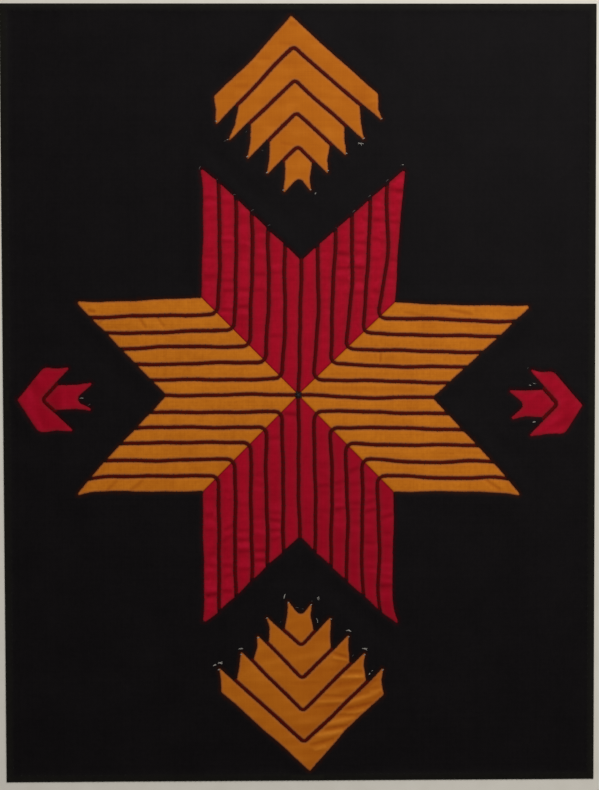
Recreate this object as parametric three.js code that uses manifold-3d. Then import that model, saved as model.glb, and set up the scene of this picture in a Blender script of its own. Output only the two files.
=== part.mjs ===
// A phulkari in reverse applique: a black cotton cloth, face up and flat, with windows cut through it.
// Red and orange cloths are sewn on behind and show through as an eight-pointed star with four sprigs.
// The thin black lines between the stripes are what is left of the black cloth between two windows.
//
// Millimetres. +Z is up, out of the face; +Y runs to the top of the pattern; the origin is the middle
// of the underside. Each piece of cloth is one mesh.
import * as THREE from "three";
import { mergeVertices } from "three/addons/utils/BufferGeometryUtils.js";
import Module from "manifold-3d";

const wasm = await Module();
wasm.setup();

// ---- Driving dimensions ----

const CLOTH = { width: 457, height: 600 };
const LAYER = 1.0; // thickness of one layer of cloth
const CLEARANCE = 0.3; // between one cloth and the next
const HEM = { width: 6, thickness: 1.8 };
const DRAPE = 3; // width of the slope by which the black cloth comes down past a patch

const LINE = 2.4; // width of the black lines between two windows
const STAR = { halfArm: 74.2, valley: 103.5, endSlope: 0.925, stripes: 6 };
const ROUNDING = {
  tip: 0.7,
  outline: 0.8,
  blunt: 1.9, // the outermost tips of the star
  waist: 8,
  bow: 40,
  starLine: 6,
  starCentre: 2,
  chevronLine: 3,
  lastNotch: 4,
};
const ALLOWANCE = { seam: 6, apex: 1.5 }; // how far a patch reaches past its windows

// Hand-cut edges wander in a long wave and a shorter one. The phases are radians for each step of a
// line's seed, which makes every line's waves its own, and fadeIn is how far from the middle they build up.
const WANDER = {
  reach: 0.35,
  longWave: 85,
  longPhase: 2.4,
  shortWave: 33,
  shortPhase: 4.1,
  shortShare: 0.45,
  fadeIn: 20,
};
const SEEDS = { level: 3, upright: 5.5, sprig: 7, acrossSprig: 0.7 };
const STEP = 26; // longest straight edge of a window
const ARC = Math.PI / 4; // turn of one edge on a rounded corner
const ON_DIAGONAL = 1e-9; // a point this close to a diagonal is on it

// The star was cut out of true. Its middle and its four inner corners, which onX and onY name by the
// signs of their places, stand this far to the right and up.
const CENTRE = { right: -1.2, up: 0.5 };
const CORNERS = [
  { onX: -1, onY: 1, right: -1.1, up: 1 },
  { onX: 1, onY: 1, right: -0.7, up: -2.9 },
  { onX: -1, onY: -1, right: -0.8, up: 0.5 },
  { onX: 1, onY: -1, right: -1.8, up: -0.3 },
];

// turn is the way an arm points, anticlockwise from +Y. Its left tip, its valley and its right tip stand
// aside to the arm's own right, and out along it. A tip's hook is how far its very end flicks sideways.
const ARMS = [
  {
    name: "top",
    turn: 0,
    left: { aside: 0.6, out: 3.9, hook: 2.5 },
    valley: { aside: 1.3, out: 0.5 },
    right: { aside: 6.6, out: 2.4, hook: 1.2 },
  },
  {
    name: "left",
    turn: 90,
    left: { aside: 0.2, out: 1.9, hook: 4 },
    valley: { aside: 0.2, out: -0.8 },
    right: { aside: -2.2, out: 0.4, hook: 1 },
  },
  {
    name: "bottom",
    turn: 180,
    left: { aside: 2.4, out: 6.9, hook: 5.5 },
    valley: { aside: 0.3, out: 5.5 },
    right: { aside: 0.6, out: 5.9, hook: 0.5 },
  },
  {
    name: "right",
    turn: -90,
    left: { aside: 6.2, out: 7.4, hook: 1.5 },
    valley: { aside: 2, out: -1 },
    right: { aside: 1.5, out: 0.4, hook: 3.5 },
  },
];
// How far each black line of an arm was sewn aside of its ruled place, half way along it: to the right in
// an upright arm, and up in a level one. They are listed from the left or from below, and the sixth is
// the arm's middle line.
const DRIFTS = {
  top: [0.8, 1.2, 0.6, 0.8, 1.1, 0.5, 1.2, 0, 1.6, 1.4, 3.6],
  bottom: [-0.5, 0, 0.2, -0.6, -0.2, -0.3, 0.3, 1.4, 1, 0.4, 1.2],
  left: [-0.8, -0.8, 1, 0, -1.2, 0.4, -0.2, 0.3, 1, 0, 0.3],
  right: [-1.5, -1.5, -0.8, 0, 0, -1, -0.2, -0.4, -0.5, 0.2, 0.2],
};
const HOOK = { from: 0.8, power: 4 }; // share of an arm's length at which the hooks start, and their curve

// The outer size of each kind of sprig, which is a stack of chevrons.
const LARGE = {
  chevrons: 5,
  pitch: 25.2,
  halfWidth: 63,
  taper: 13.4, // from one chevron's half-width to the next
  flare: 1, // how far a chevron's tips spread past its shoulders
  crownSlope: 0.965,
  tipRadius: 0.8,
  shoulderRadius: 2.5,
};
const SMALL = {
  chevrons: 2,
  pitch: 26,
  halfWidth: 24.5,
  taper: 13.5,
  flare: 0,
  crownSlope: 0.85,
  tipRadius: 1.1,
  shoulderRadius: 6,
};
const LINE_SLOPE = 0.93; // rise over run of every chevron's lines
const WAIST = 1.2; // how far a chevron's side is drawn in, half way from its shoulder to its tip

// start is where a sprig's inner end lies from the star's middle, aside is to its own right, lean turns
// it anticlockwise about that end, askew is how far its apex stands to the right, and crown is the height
// of its outermost chevron there. On each side, brow is how much higher the outermost shoulder is, and bow
// how far the edge from there to the apex is drawn in. The lists go from the outermost chevron inwards:
// a tip stands out sideways and on towards the star, and a shoulder reaches further out along its line.
const SPRIGS = [
  {
    name: "top", turn: 0, start: 166.4, aside: 0, lean: 2.2, askew: -1, crown: 24, size: LARGE,
    left: {
      brow: 0, bow: 1.3,
      out: [-1.2, 3.6, 2.7, 1.5, 2.9],
      on: [-0.6, 1, 1.7, 1.9, 2.8],
      reach: [0, -5.2, -0.7, -1.3, 1.1],
    },
    right: {
      brow: 0, bow: 1.2,
      out: [1.7, 1, 0.5, -1.1, -1.6],
      on: [2.3, 4, 2.2, 2.2, 3.5],
      reach: [0, -1.1, 0.2, 2, 1.1],
    },
  },
  {
    name: "left", turn: 90, start: 172, aside: -2.8, lean: 0, askew: 0, crown: 20, size: SMALL,
    left: { brow: 4.8, bow: 0, out: [0.2, -2], on: [3, 7.4], reach: [1.2, -3] },
    right: { brow: 0, bow: 0, out: [0.8, 3], on: [1, 6], reach: [0.5, 0.3] },
  },
  {
    name: "bottom", turn: 180, start: 169.5, aside: 0, lean: 1.8, askew: -3.5, crown: 22, size: LARGE,
    left: {
      brow: 0, bow: 2.6,
      out: [-0.9, -1.3, 0.3, 0.6, -1.2],
      on: [-0.6, -0.8, 0.9, 2.4, 1.2],
      reach: [0, -0.7, 0.6, 0.3, 0.8],
    },
    right: {
      brow: 0, bow: -0.8,
      out: [1.3, -2.9, -3.2, 2.7, -0.7],
      on: [4.4, 2.9, 2.6, 5, 3.8],
      reach: [0, 1.9, 1.9, 2.4, 2.9],
    },
  },
  {
    name: "right", turn: -90, start: 173, aside: 7.3, lean: 0, askew: 1.2, crown: 20, size: SMALL,
    left: { brow: 0, bow: 0, out: [2.8, 0.6], on: [1.2, 4.4], reach: [0.8, 0.3] },
    right: { brow: 4, bow: 0, out: [1.2, 1], on: [1.6, 3], reach: [-1.3, -0.8] },
  },
];

const COTTON = { roughness: 0.9, metalness: 0 };
const BLACK = new THREE.MeshStandardMaterial({ ...COTTON, color: 0x171616 });
const RED = new THREE.MeshStandardMaterial({ ...COTTON, color: 0x9c1228 });
const ORANGE = new THREE.MeshStandardMaterial({ ...COTTON, color: 0xb26418 });
const ARM_CLOTH = { top: RED, left: ORANGE, bottom: RED, right: ORANGE };
const SPRIG_CLOTH = { top: ORANGE, left: RED, bottom: ORANGE, right: RED };

// ---- Worked out from them ----

const PITCH = STAR.halfArm / STAR.stripes; // from one of the star's lines to the next
const POCKET_TOP = LAYER + CLEARANCE; // underside of the black cloth over the patches
const FACE = POCKET_TOP + LAYER; // its upper side there
const HALF_GAP = (LINE / 2) * Math.hypot(1, LINE_SLOPE); // half a chevron's line, measured straight up

// ---- Outlines ----

const point = (x, y) => new THREE.Vector2(x, y);
const turned = (p, degrees) => p.clone().rotateAround(point(0, 0), THREE.MathUtils.degToRad(degrees));

// How far a hand-cut line strays sideways at a place along it.
function wander(seed, along) {
  const long = Math.sin((2 * Math.PI * along) / WANDER.longWave + WANDER.longPhase * seed);
  const short = Math.sin((2 * Math.PI * along) / WANDER.shortWave + WANDER.shortPhase * seed);
  return WANDER.reach * (long + WANDER.shortShare * short);
}

// A corner of a window: its place, its radius, and the function that says how the line it lies on strays.
const corner = (x, y, radius, stray) => ({ at: point(x, y), radius, stray });

// The points of a rounded corner, from the edge that comes from before to the edge that leaves for after.
function roundedCorner({ at, radius, stray }, before, after) {
  const back = before.at.clone().sub(at).normalize();
  const on = after.at.clone().sub(at).normalize();
  const half = Math.acos(THREE.MathUtils.clamp(back.dot(on), -1, 1)) / 2;
  const centre = at.clone().addScaledVector(back.clone().add(on).normalize(), radius / Math.sin(half));
  const from = at.clone().addScaledVector(back, radius / Math.tan(half)).sub(centre);
  const sweep = (Math.PI - 2 * half) * Math.sign(on.cross(back));
  const steps = Math.ceil(Math.abs(sweep) / ARC);
  return Array.from({ length: steps + 1 }, (_, i) => {
    const p = from.clone().rotateAround(point(0, 0), (sweep * i) / steps).add(centre);
    return { at: p, stray };
  });
}

// The closed outline through corners, with its long edges split so that they can stray.
function outline(corners) {
  const rounded = corners.map((c, i) =>
    roundedCorner(c, corners.at(i - 1), corners[(i + 1) % corners.length]),
  );
  return rounded.flatMap((arc, i) => {
    const from = arc.at(-1);
    const to = rounded[(i + 1) % rounded.length][0];
    const pieces = Math.ceil(from.at.distanceTo(to.at) / STEP);
    const strayed = arc.map(({ at, stray }) => at.clone().add(stray(at)));
    for (let k = 1; k < pieces; k++) {
      const p = from.at.clone().lerp(to.at, k / pieces);
      strayed.push(p.clone().add(from.stray(p).lerp(to.stray(p), k / pieces)));
    }
    return strayed;
  });
}

// A closed outline moved outwards by a distance, with its corners kept sharp. It runs anticlockwise.
function grown(ring, distance) {
  return ring.map((p, i) => {
    const into = p.clone().sub(ring.at(i - 1)).normalize();
    const out = ring[(i + 1) % ring.length].clone().sub(p).normalize();
    const normal = (d) => point(d.y, -d.x);
    const middle = normal(into).add(normal(out)).normalize();
    return p.clone().addScaledVector(middle, distance / middle.dot(normal(into)));
  });
}

// ---- The star ----

// Where the slanted end of an arm lies, at a distance from the arm's middle line.
const armEnd = (fromMiddle) => STAR.valley + STAR.endSlope * fromMiddle;

// How far a point of an arm is moved, in the arm's own frame. On the diagonals it moves with the star's
// middle and corners, and at the arm's end with the valley and the tips.
function outOfTrue(q, arm) {
  const side = q.x < 0 ? -1 : 1;
  const tip = q.x < 0 ? arm.left : arm.right;
  const fromMiddle = Math.abs(q.x);
  const share = Math.min(1, fromMiddle / STAR.halfArm);
  const outward = THREE.MathUtils.clamp((q.y - fromMiddle) / (armEnd(fromMiddle) - fromMiddle), 0, 1);
  const towards = turned(point(side, 1), arm.turn);
  const corner = CORNERS.find(({ onX, onY }) => onX * towards.x > 0 && onY * towards.y > 0);
  const moved = point(CENTRE.right, CENTRE.up).lerp(point(corner.right, corner.up), share);
  const diagonal = turned(moved, -arm.turn);
  const end = point(arm.valley.aside, arm.valley.out).lerp(point(tip.aside, tip.out), share);
  const flick = THREE.MathUtils.clamp((outward - HOOK.from) / (1 - HOOK.from), 0, 1) ** 2;
  const hook = side * tip.hook * share ** HOOK.power * flick;
  return diagonal.lerp(end, outward).add(point(hook, 0));
}

// Moves a point of the star to where it was really cut.
function uneven(p) {
  const arm = ARMS.find(({ turn }) => {
    const q = turned(p, -turn);
    return q.y >= Math.abs(q.x) - ON_DIAGONAL;
  });
  const q = turned(p, -arm.turn);
  return turned(q.clone().add(outOfTrue(q, arm)), arm.turn);
}

// How far a black line of an arm drifts at a place along it: most half way, and not at all at its ends.
function drift(arm, line, along) {
  const most = DRIFTS[arm][STAR.stripes - 1 + line] ?? 0;
  const start = Math.abs(line) * PITCH;
  const share = THREE.MathUtils.clamp((along - start) / (armEnd(start) - start), 0, 1);
  return most * Math.sin(Math.PI * share) ** 2;
}

// One side of a bent stripe in the quarter where x has the sign sx and y the sign sy: in from the level
// arm's end, round the bend on the diagonal, and out to the upright arm's end. It lies at an offset from
// the line of this number, counted from the middle. Two quarters share line 0, and so its seeds.
function stripeSide(sx, sy, line, offset, bend, tip) {
  const d = line * PITCH + offset;
  const seedLevel = SEEDS.level * sx + line * sy;
  const seedUpright = SEEDS.upright * sy + line * sx;
  const fade = (along) => Math.min(1, Math.abs(along) / WANDER.fadeIn);
  const upright = sy > 0 ? "top" : "bottom";
  const level = sx > 0 ? "right" : "left";
  const stray = (p) =>
    point(
      fade(p.y) * wander(seedUpright, Math.abs(p.y)) + drift(upright, sx * line, Math.abs(p.y)),
      fade(p.x) * wander(seedLevel, Math.abs(p.x)) + drift(level, sy * line, Math.abs(p.x)),
    );
  return [
    corner(sx * armEnd(d), sy * d, tip, stray),
    corner(sx * d, sy * d, bend, stray),
    corner(sx * d, sy * armEnd(d), tip, stray),
  ];
}

function starWindows() {
  const windows = [];
  for (const sx of [-1, 1])
    for (const sy of [-1, 1])
      for (let n = 1; n <= STAR.stripes; n++) {
        const nearBend = n === 1 ? ROUNDING.starCentre : ROUNDING.starLine - LINE / 2;
        const near = stripeSide(sx, sy, n - 1, LINE / 2, nearBend, ROUNDING.tip);
        const far =
          n === STAR.stripes
            ? stripeSide(sx, sy, n, 0, ROUNDING.outline, ROUNDING.blunt)
            : stripeSide(sx, sy, n, -LINE / 2, ROUNDING.starLine + LINE / 2, ROUNDING.tip);
        windows.push(outline([...near, ...far.reverse()]).map(uneven));
      }
  return windows;
}

// The cloth behind one arm: two edges meet the neighbours' on the diagonals, and the end is notched.
function armPatch({ turn }) {
  const side = STAR.halfArm + ALLOWANCE.seam;
  const end = armEnd(STAR.halfArm) + ALLOWANCE.seam;
  const notch = STAR.valley + ALLOWANCE.seam * Math.hypot(1, STAR.endSlope);
  const tip = (end - notch) / STAR.endSlope;
  const seam = (CLEARANCE / 2) * Math.SQRT2;
  const ring = [
    point(0, seam),
    point(side, side + seam),
    point(side, end),
    point(tip, end),
    point(0, notch),
    point(-tip, end),
    point(-side, end),
    point(-side, side + seam),
  ];
  return ring.map((p) => uneven(turned(p, turn)));
}

// ---- The sprigs ----

// Puts a point of a sprig in its place on the cloth. In the sprig's own frame the inner end is at the
// origin and the apex is up.
const onSprig = ({ turn, lean, start, aside }, p) =>
  turned(turned(p, lean).add(point(aside, start)), turn);

// The run from chevron k's notch to its tip on one side, and the slope of that edge.
function lowerEdge({ size, left, right }, k, sign) {
  const { out, on } = sign < 0 ? left : right;
  const spread = size.halfWidth - k * size.taper + size.flare;
  const run = spread + out[k];
  return { run, slope: (spread * LINE_SLOPE + on[k]) / run };
}

// The shoulder and the tip of chevron k on the left (sign -1) or on the right (sign 1). Each chevron's
// upper edge runs along the lower edge of the one outside it.
function chevronSide(sprig, k, apex, notch, sign) {
  const { size, left, right } = sprig;
  const { reach, brow } = sign < 0 ? left : right;
  const x = sign * (size.halfWidth - k * size.taper + reach[k]);
  const upperSlope = k === 0 ? size.crownSlope : lowerEdge(sprig, k - 1, sign).slope;
  const raised = k === 0 ? brow : 0;
  const { run, slope } = lowerEdge(sprig, k, sign);
  return {
    shoulder: point(x, apex.y - Math.abs(x - apex.x) * upperSlope + raised),
    tip: point(sign * run, notch.y - run * slope),
  };
}

// Chevron k of a sprig, counted from the outermost: its apex, its notch and its two sides.
function chevron(sprig, k) {
  const { size, crown, askew } = sprig;
  const line = (size.chevrons - k) * size.pitch; // the line above it
  const apex = k === 0 ? point(askew, line - size.pitch + crown) : point(0, line - HALF_GAP);
  const notch = point(0, line - size.pitch + HALF_GAP);
  return {
    apex,
    notch,
    left: chevronSide(sprig, k, apex, notch, -1),
    right: chevronSide(sprig, k, apex, notch, 1),
  };
}

// A chevron's corners down one side, from its shoulder to its tip. The outermost chevron's crown is
// drawn in by the bow, and every side by the waist.
function sideCorners({ size }, { shoulder, tip }, { apex, bow, sign, outermost }, upper, lower) {
  const brow = outermost ? size.shoulderRadius : ROUNDING.tip;
  const waist = shoulder.clone().add(tip).divideScalar(2).sub(point(sign * WAIST, 0));
  const corners = [
    corner(shoulder.x, shoulder.y, brow, upper),
    corner(waist.x, waist.y, ROUNDING.waist, upper),
    corner(tip.x, tip.y, size.tipRadius, lower),
  ];
  if (!outermost || bow === 0) return corners;
  const along = shoulder.clone().sub(apex).normalize();
  const drawnIn = point(along.y, -along.x).multiplyScalar(sign * bow);
  const middle = apex.clone().add(shoulder).divideScalar(2).add(drawnIn);
  return [corner(middle.x, middle.y, ROUNDING.bow, upper), ...corners];
}

function sprigWindows(sprig, index) {
  const straying = (line) => (p) => {
    const seed = SEEDS.sprig * index + line;
    return point(wander(seed + SEEDS.acrossSprig, p.y), wander(seed, p.x));
  };
  const { chevrons } = sprig.size;
  return Array.from({ length: chevrons }, (_, k) => {
    const outermost = k === 0;
    const { apex, notch, left, right } = chevron(sprig, k);
    const upper = straying(k);
    const lower = straying(k + 1);
    const apexRadius = outermost ? ROUNDING.outline : ROUNDING.chevronLine - LINE / 2;
    const notchRadius = k === chevrons - 1 ? ROUNDING.lastNotch : ROUNDING.chevronLine + LINE / 2;
    const down = { apex, bow: sprig.left.bow, sign: -1, outermost };
    const up = { apex, bow: sprig.right.bow, sign: 1, outermost };
    const ring = outline([
      corner(apex.x, apex.y, apexRadius, upper),
      ...sideCorners(sprig, left, down, upper, lower),
      corner(notch.x, notch.y, notchRadius, lower),
      ...sideCorners(sprig, right, up, upper, lower).reverse(),
    ]);
    return ring.map((p) => onSprig(sprig, p));
  });
}

// The cloth behind a sprig. Its apex is cut off square, short of the hem.
function sprigPatch(sprig) {
  const { seam, apex: pastApex } = ALLOWANCE;
  const first = chevron(sprig, 0);
  const last = chevron(sprig, sprig.size.chevrons - 1);
  const top = first.apex.y + pastApex;
  const side = (sign, { shoulder, tip }, lastTip) => {
    const wide = sign * (Math.max(Math.abs(shoulder.x), Math.abs(tip.x)) + seam);
    return [
      point(wide, shoulder.y + seam / 2),
      point(wide, tip.y - seam),
      point(lastTip.x + sign * seam, lastTip.y - seam),
    ];
  };
  const ring = [
    point(sprig.askew - seam, top),
    ...side(-1, first.left, last.left.tip),
    ...side(1, first.right, last.right.tip).reverse(),
    point(sprig.askew + seam, top),
  ];
  return ring.map((p) => onSprig(sprig, p));
}

// ---- Solids ----

// A flat piece of cloth between two heights.
function slab(ring, bottom, top) {
  const geometry = new THREE.ExtrudeGeometry(new THREE.Shape(ring), {
    depth: top - bottom,
    bevelEnabled: false,
  });
  return geometry.translate(0, 0, bottom);
}

// A slab whose sides slope: it starts at the outer ring and ends at the inner one.
function slopedSlab(outer, inner, bottom, top) {
  const geometry = slab(outer, bottom, top);
  const position = geometry.getAttribute("position");
  const at = point(0, 0);
  for (let i = 0; i < position.count; i++) {
    if (position.getZ(i) < top) continue;
    at.set(position.getX(i), position.getY(i));
    const nearest = outer.reduce(
      (best, p, k) => (p.distanceTo(at) < outer[best].distanceTo(at) ? k : best),
      0,
    );
    position.setXY(i, inner[nearest].x, inner[nearest].y);
  }
  return geometry;
}

function solidOf(geometry) {
  geometry.deleteAttribute("normal");
  geometry.deleteAttribute("uv");
  const merged = mergeVertices(geometry);
  return new wasm.Manifold(
    new wasm.Mesh({
      numProp: 3,
      vertProperties: merged.getAttribute("position").array,
      triVerts: new Uint32Array(merged.index.array),
    }),
  );
}

function geometryOf(solid) {
  const { vertProperties, triVerts } = solid.getMesh();
  const geometry = new THREE.BufferGeometry();
  geometry.setAttribute("position", new THREE.BufferAttribute(vertProperties, 3));
  geometry.setIndex(new THREE.BufferAttribute(triVerts, 1));
  geometry.computeVertexNormals();
  return geometry;
}

function rectangle(width, height) {
  const [x, y] = [width / 2, height / 2];
  return [point(-x, -y), point(x, -y), point(x, y), point(-x, y)];
}

// The black cloth: a thin sheet with a thicker hem that rises over each patch and has every window cut
// through it. Its underside stays clear of the patches.
function groundCloth(patches, windows) {
  const edge = rectangle(CLOTH.width, CLOTH.height);
  const field = rectangle(CLOTH.width - 2 * HEM.width, CLOTH.height - 2 * HEM.width);
  const sheet = solidOf(slab(edge, 0, HEM.thickness));
  let cloth = sheet.subtract(solidOf(slab(field, LAYER, FACE)));
  for (const ring of patches) {
    const over = grown(ring, CLEARANCE + LAYER);
    cloth = cloth.add(solidOf(slopedSlab(grown(over, DRAPE), over, 0, FACE)));
  }
  for (const ring of patches)
    cloth = cloth.subtract(solidOf(slab(grown(ring, CLEARANCE), -LAYER, POCKET_TOP)));
  for (const ring of windows) cloth = cloth.subtract(solidOf(slab(ring, -LAYER, FACE + LAYER)));
  return geometryOf(cloth);
}

// ---- The part ----

const group = new THREE.Group();
group.name = "phulkari";

function addPiece(name, geometry, material) {
  const mesh = new THREE.Mesh(geometry, material);
  mesh.name = name;
  group.add(mesh);
}

const armPatches = ARMS.map(armPatch);
const sprigPatches = SPRIGS.map(sprigPatch);
const windows = [...starWindows(), ...SPRIGS.flatMap(sprigWindows)];

addPiece("ground_cloth", groundCloth([...armPatches, ...sprigPatches], windows), BLACK);
ARMS.forEach(({ name }, i) =>
  addPiece(`star_patch_${name}`, slab(armPatches[i], 0, LAYER), ARM_CLOTH[name]),
);
SPRIGS.forEach(({ name }, i) =>
  addPiece(`sprig_patch_${name}`, slab(sprigPatches[i], 0, LAYER), SPRIG_CLOTH[name]),
);

export default group;
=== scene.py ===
# %% [markdown]
# # A phulkari in reverse applique
#
# The real object is a black cotton cloth with narrow windows cut through it. Red and orange cloths are
# sewn on behind, so that they show through the windows as a striped star with four chevron sprigs. The
# thin black lines are what is left of the black cloth between two windows, with both edges turned under.
#
# We build it the way it is sewn: first the pattern on the flat, then the black cloth, the coloured cloths
# behind it, and last the thread. The imported CAD model is loaded as a fixed frame: it says where each
# cloth lies. Every piece made here rides on one body, and the CAD solids are hidden at the end.

# %% Load the frame
import math

import bpy
import numpy as np
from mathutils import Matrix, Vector, geometry, kdtree, noise


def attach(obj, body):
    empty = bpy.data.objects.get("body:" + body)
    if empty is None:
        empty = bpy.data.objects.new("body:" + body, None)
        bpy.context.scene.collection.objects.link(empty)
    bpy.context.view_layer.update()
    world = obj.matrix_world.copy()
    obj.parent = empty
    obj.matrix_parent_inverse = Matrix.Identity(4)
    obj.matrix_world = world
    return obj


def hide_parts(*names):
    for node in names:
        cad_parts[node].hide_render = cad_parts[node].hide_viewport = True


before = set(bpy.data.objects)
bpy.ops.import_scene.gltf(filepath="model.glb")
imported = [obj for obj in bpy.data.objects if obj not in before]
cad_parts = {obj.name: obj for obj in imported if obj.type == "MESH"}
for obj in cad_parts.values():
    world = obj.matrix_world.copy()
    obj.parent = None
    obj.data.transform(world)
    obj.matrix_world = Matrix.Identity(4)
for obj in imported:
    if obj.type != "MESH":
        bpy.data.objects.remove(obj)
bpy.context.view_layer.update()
MM = 0.001  # the pattern is laid out in millimetres, and Blender works in metres


def linked(name, data):
    """A new object in the scene, made from this mesh, curve, light or camera."""
    item = bpy.data.objects.new(name, data)
    bpy.context.scene.collection.objects.link(item)
    return item


print("nodes:", sorted(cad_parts))

# %% [markdown]
# ## The camera
#
# The cloth is seen face on, from straight above its middle but for a degree or two. That small tilt
# makes the top edge a little wider than the bottom one. An ordinary 50 mm lens from 85 cm away keeps the
# edges straight, and the tilt is given as three plain angles instead of a target to look at.

# %% Place the camera
CAMERA = {"lens": 50.0, "place": (-0.0084, 0.0216, 0.8472), "angles": (-1.437, -0.555, -0.148)}

camera = linked("camera", bpy.data.cameras.new("camera"))
camera.data.lens = CAMERA["lens"]
camera.location = CAMERA["place"]
camera.rotation_euler = [math.radians(angle) for angle in CAMERA["angles"]]
bpy.context.scene.camera = camera
print("camera at", tuple(camera.location), "with a", camera.data.lens, "mm lens")

# %% [markdown]
# ## The pattern, by rule
#
# A quilter draws this star with a ruler: eight equal rhombi, each with the same stripes. So we work it
# out from a few sizes too. What makes it look made by hand is small: the ends of the arms were cut a
# few millimetres out of true, the sprigs lean, and every line wanders by half a millimetre and bows a
# little to one side. Those errors are in the tables below, and the lines and corners follow from them.

# %% Sizes of the pattern, in millimetres
CLOTH = {"width": 457, "height": 600}
LINE = 2.4  # width of the black lines between two windows
STAR = {"half_arm": 74.2, "valley": 103.5, "end_slope": 0.925, "stripes": 6}
ROUNDING = {"tip": 0.7, "outline": 0.8, "blunt": 1.9, "waist": 8, "bow": 40, "star_line": 6,
            "star_centre": 2, "chevron_line": 3, "last_notch": 4}
ALLOWANCE = {"seam": 6, "apex": 1.5}  # how far a patch reaches past its windows
LINE_SLOPE = 0.93  # rise over run of every chevron's lines
PITCH = STAR["half_arm"] / STAR["stripes"]
HALF_GAP = LINE / 2 * math.hypot(1, LINE_SLOPE)

# How far out of true the star was cut. A place's real part is to the right, its imaginary part up.
# CORNERS names each corner by the signs of its x and y.
CENTRE = -1.2 + 0.5j
CORNERS = {(-1, 1): -1.1 + 1.0j, (1, 1): -0.7 - 2.9j, (-1, -1): -0.8 + 0.5j, (1, -1): -1.8 - 0.3j}

# An arm's end is out of true at its left tip, its valley and its right tip: the real part is to the
# arm's own right, the imaginary part outward. hooks is how far each tip flicks out to its side.
ARMS = [
    {"name": "top", "turn": 0, "left": 0.6 + 3.9j, "valley": 1.3 + 0.5j, "right": 6.6 + 2.4j,
     "hooks": (2.5, 1.2)},
    {"name": "left", "turn": 90, "left": 0.2 + 1.9j, "valley": 0.2 - 0.8j, "right": -2.2 + 0.4j,
     "hooks": (4, 1)},
    {"name": "bottom", "turn": 180, "left": 2.4 + 6.9j, "valley": 0.3 + 5.5j, "right": 0.6 + 5.9j,
     "hooks": (5.5, 0.5)},
    {"name": "right", "turn": -90, "left": 6.2 + 7.4j, "valley": 2 - 1j, "right": 1.5 + 0.4j,
     "hooks": (1.5, 3.5)},
]

# How far each black line of an arm was sewn aside of its ruled place, half way along it: to the right in
# an upright arm, and up in a level one, from the left or from below. The sixth is the arm's middle line.
DRIFTS = {
    "top": (0.8, 1.2, 0.6, 0.8, 1.1, 0.5, 1.2, 0, 1.6, 1.4, 3.6),
    "bottom": (-0.5, 0, 0.2, -0.6, -0.2, -0.3, 0.3, 1.4, 1, 0.4, 1.2),
    "left": (-0.8, -0.8, 1, 0, -1.2, 0.4, -0.2, 0.3, 1, 0, 0.3),
    "right": (-1.5, -1.5, -0.8, 0, 0, -1, -0.2, -0.4, -0.5, 0.2, 0.2),
}

print(f"stripes {PITCH:.1f} mm apart, black lines {LINE} mm wide")

# %% [markdown]
# ## The sprigs, by rule
#
# The two long sprigs have five chevrons each and the two short ones two. They share their sizes, and each
# differs by how it leans and by how far its tips and shoulders are out.

# %% Sizes of the sprigs, in millimetres
LARGE = {"chevrons": 5, "pitch": 25.2, "half_width": 63, "taper": 13.4, "flare": 1, "crown_slope": 0.965,
         "tip": 0.8, "shoulder": 2.5}
SMALL = {"chevrons": 2, "pitch": 26, "half_width": 24.5, "taper": 13.5, "flare": 0, "crown_slope": 0.85,
         "tip": 1.1, "shoulder": 6}

# A sprig starts at a distance from the star's middle, and stands aside of the middle line. Its brows are
# how much higher its outermost left and right shoulders are, and its bows how far the edges from there to
# its apex are drawn in. Each chevron's tips and shoulders are out of true too, listed from the outermost
# chevron in: out is a tip's way outward, on its way towards the star, and reach how much further out
# along its line the shoulder is.
SPRIGS = [
    {"name": "top", "turn": 0, "start": 166.4, "aside": 0, "lean": 2.2, "askew": -1, "crown": 24,
     "brows": (0, 0), "bows": (1.3, 1.2), "size": LARGE,
     "left": {"out": (-1.2, 3.6, 2.7, 1.5, 2.9), "on": (-0.6, 1, 1.7, 1.9, 2.8),
              "reach": (0, -5.2, -0.7, -1.3, 1.1)},
     "right": {"out": (1.7, 1, 0.5, -1.1, -1.6), "on": (2.3, 4, 2.2, 2.2, 3.5),
               "reach": (0, -1.1, 0.2, 2, 1.1)}},
    {"name": "left", "turn": 90, "start": 172, "aside": -2.8, "lean": 0, "askew": 0, "crown": 20,
     "brows": (4.8, 0), "bows": (0, 0), "size": SMALL,
     "left": {"out": (0.2, -2), "on": (3, 7.4), "reach": (1.2, -3)},
     "right": {"out": (0.8, 3), "on": (1, 6), "reach": (0.5, 0.3)}},
    {"name": "bottom", "turn": 180, "start": 169.5, "aside": 0, "lean": 1.8, "askew": -3.5, "crown": 22,
     "brows": (0, 0), "bows": (2.6, -0.8), "size": LARGE,
     "left": {"out": (-0.9, -1.3, 0.3, 0.6, -1.2), "on": (-0.6, -0.8, 0.9, 2.4, 1.2),
              "reach": (0, -0.7, 0.6, 0.3, 0.8)},
     "right": {"out": (1.3, -2.9, -3.2, 2.7, -0.7), "on": (4.4, 2.9, 2.6, 5, 3.8),
               "reach": (0, 1.9, 1.9, 2.4, 2.9)}},
    {"name": "right", "turn": -90, "start": 173, "aside": 7.3, "lean": 0, "askew": 1.2, "crown": 20,
     "brows": (0, 4), "bows": (0, 0), "size": SMALL,
     "left": {"out": (2.8, 0.6), "on": (1.2, 4.4), "reach": (0.8, 0.3)},
     "right": {"out": (1.2, 1), "on": (1.6, 3), "reach": (-1.3, -0.8)}},
]
print({sprig["name"]: sprig["size"]["chevrons"] for sprig in SPRIGS}, "chevrons")

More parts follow.
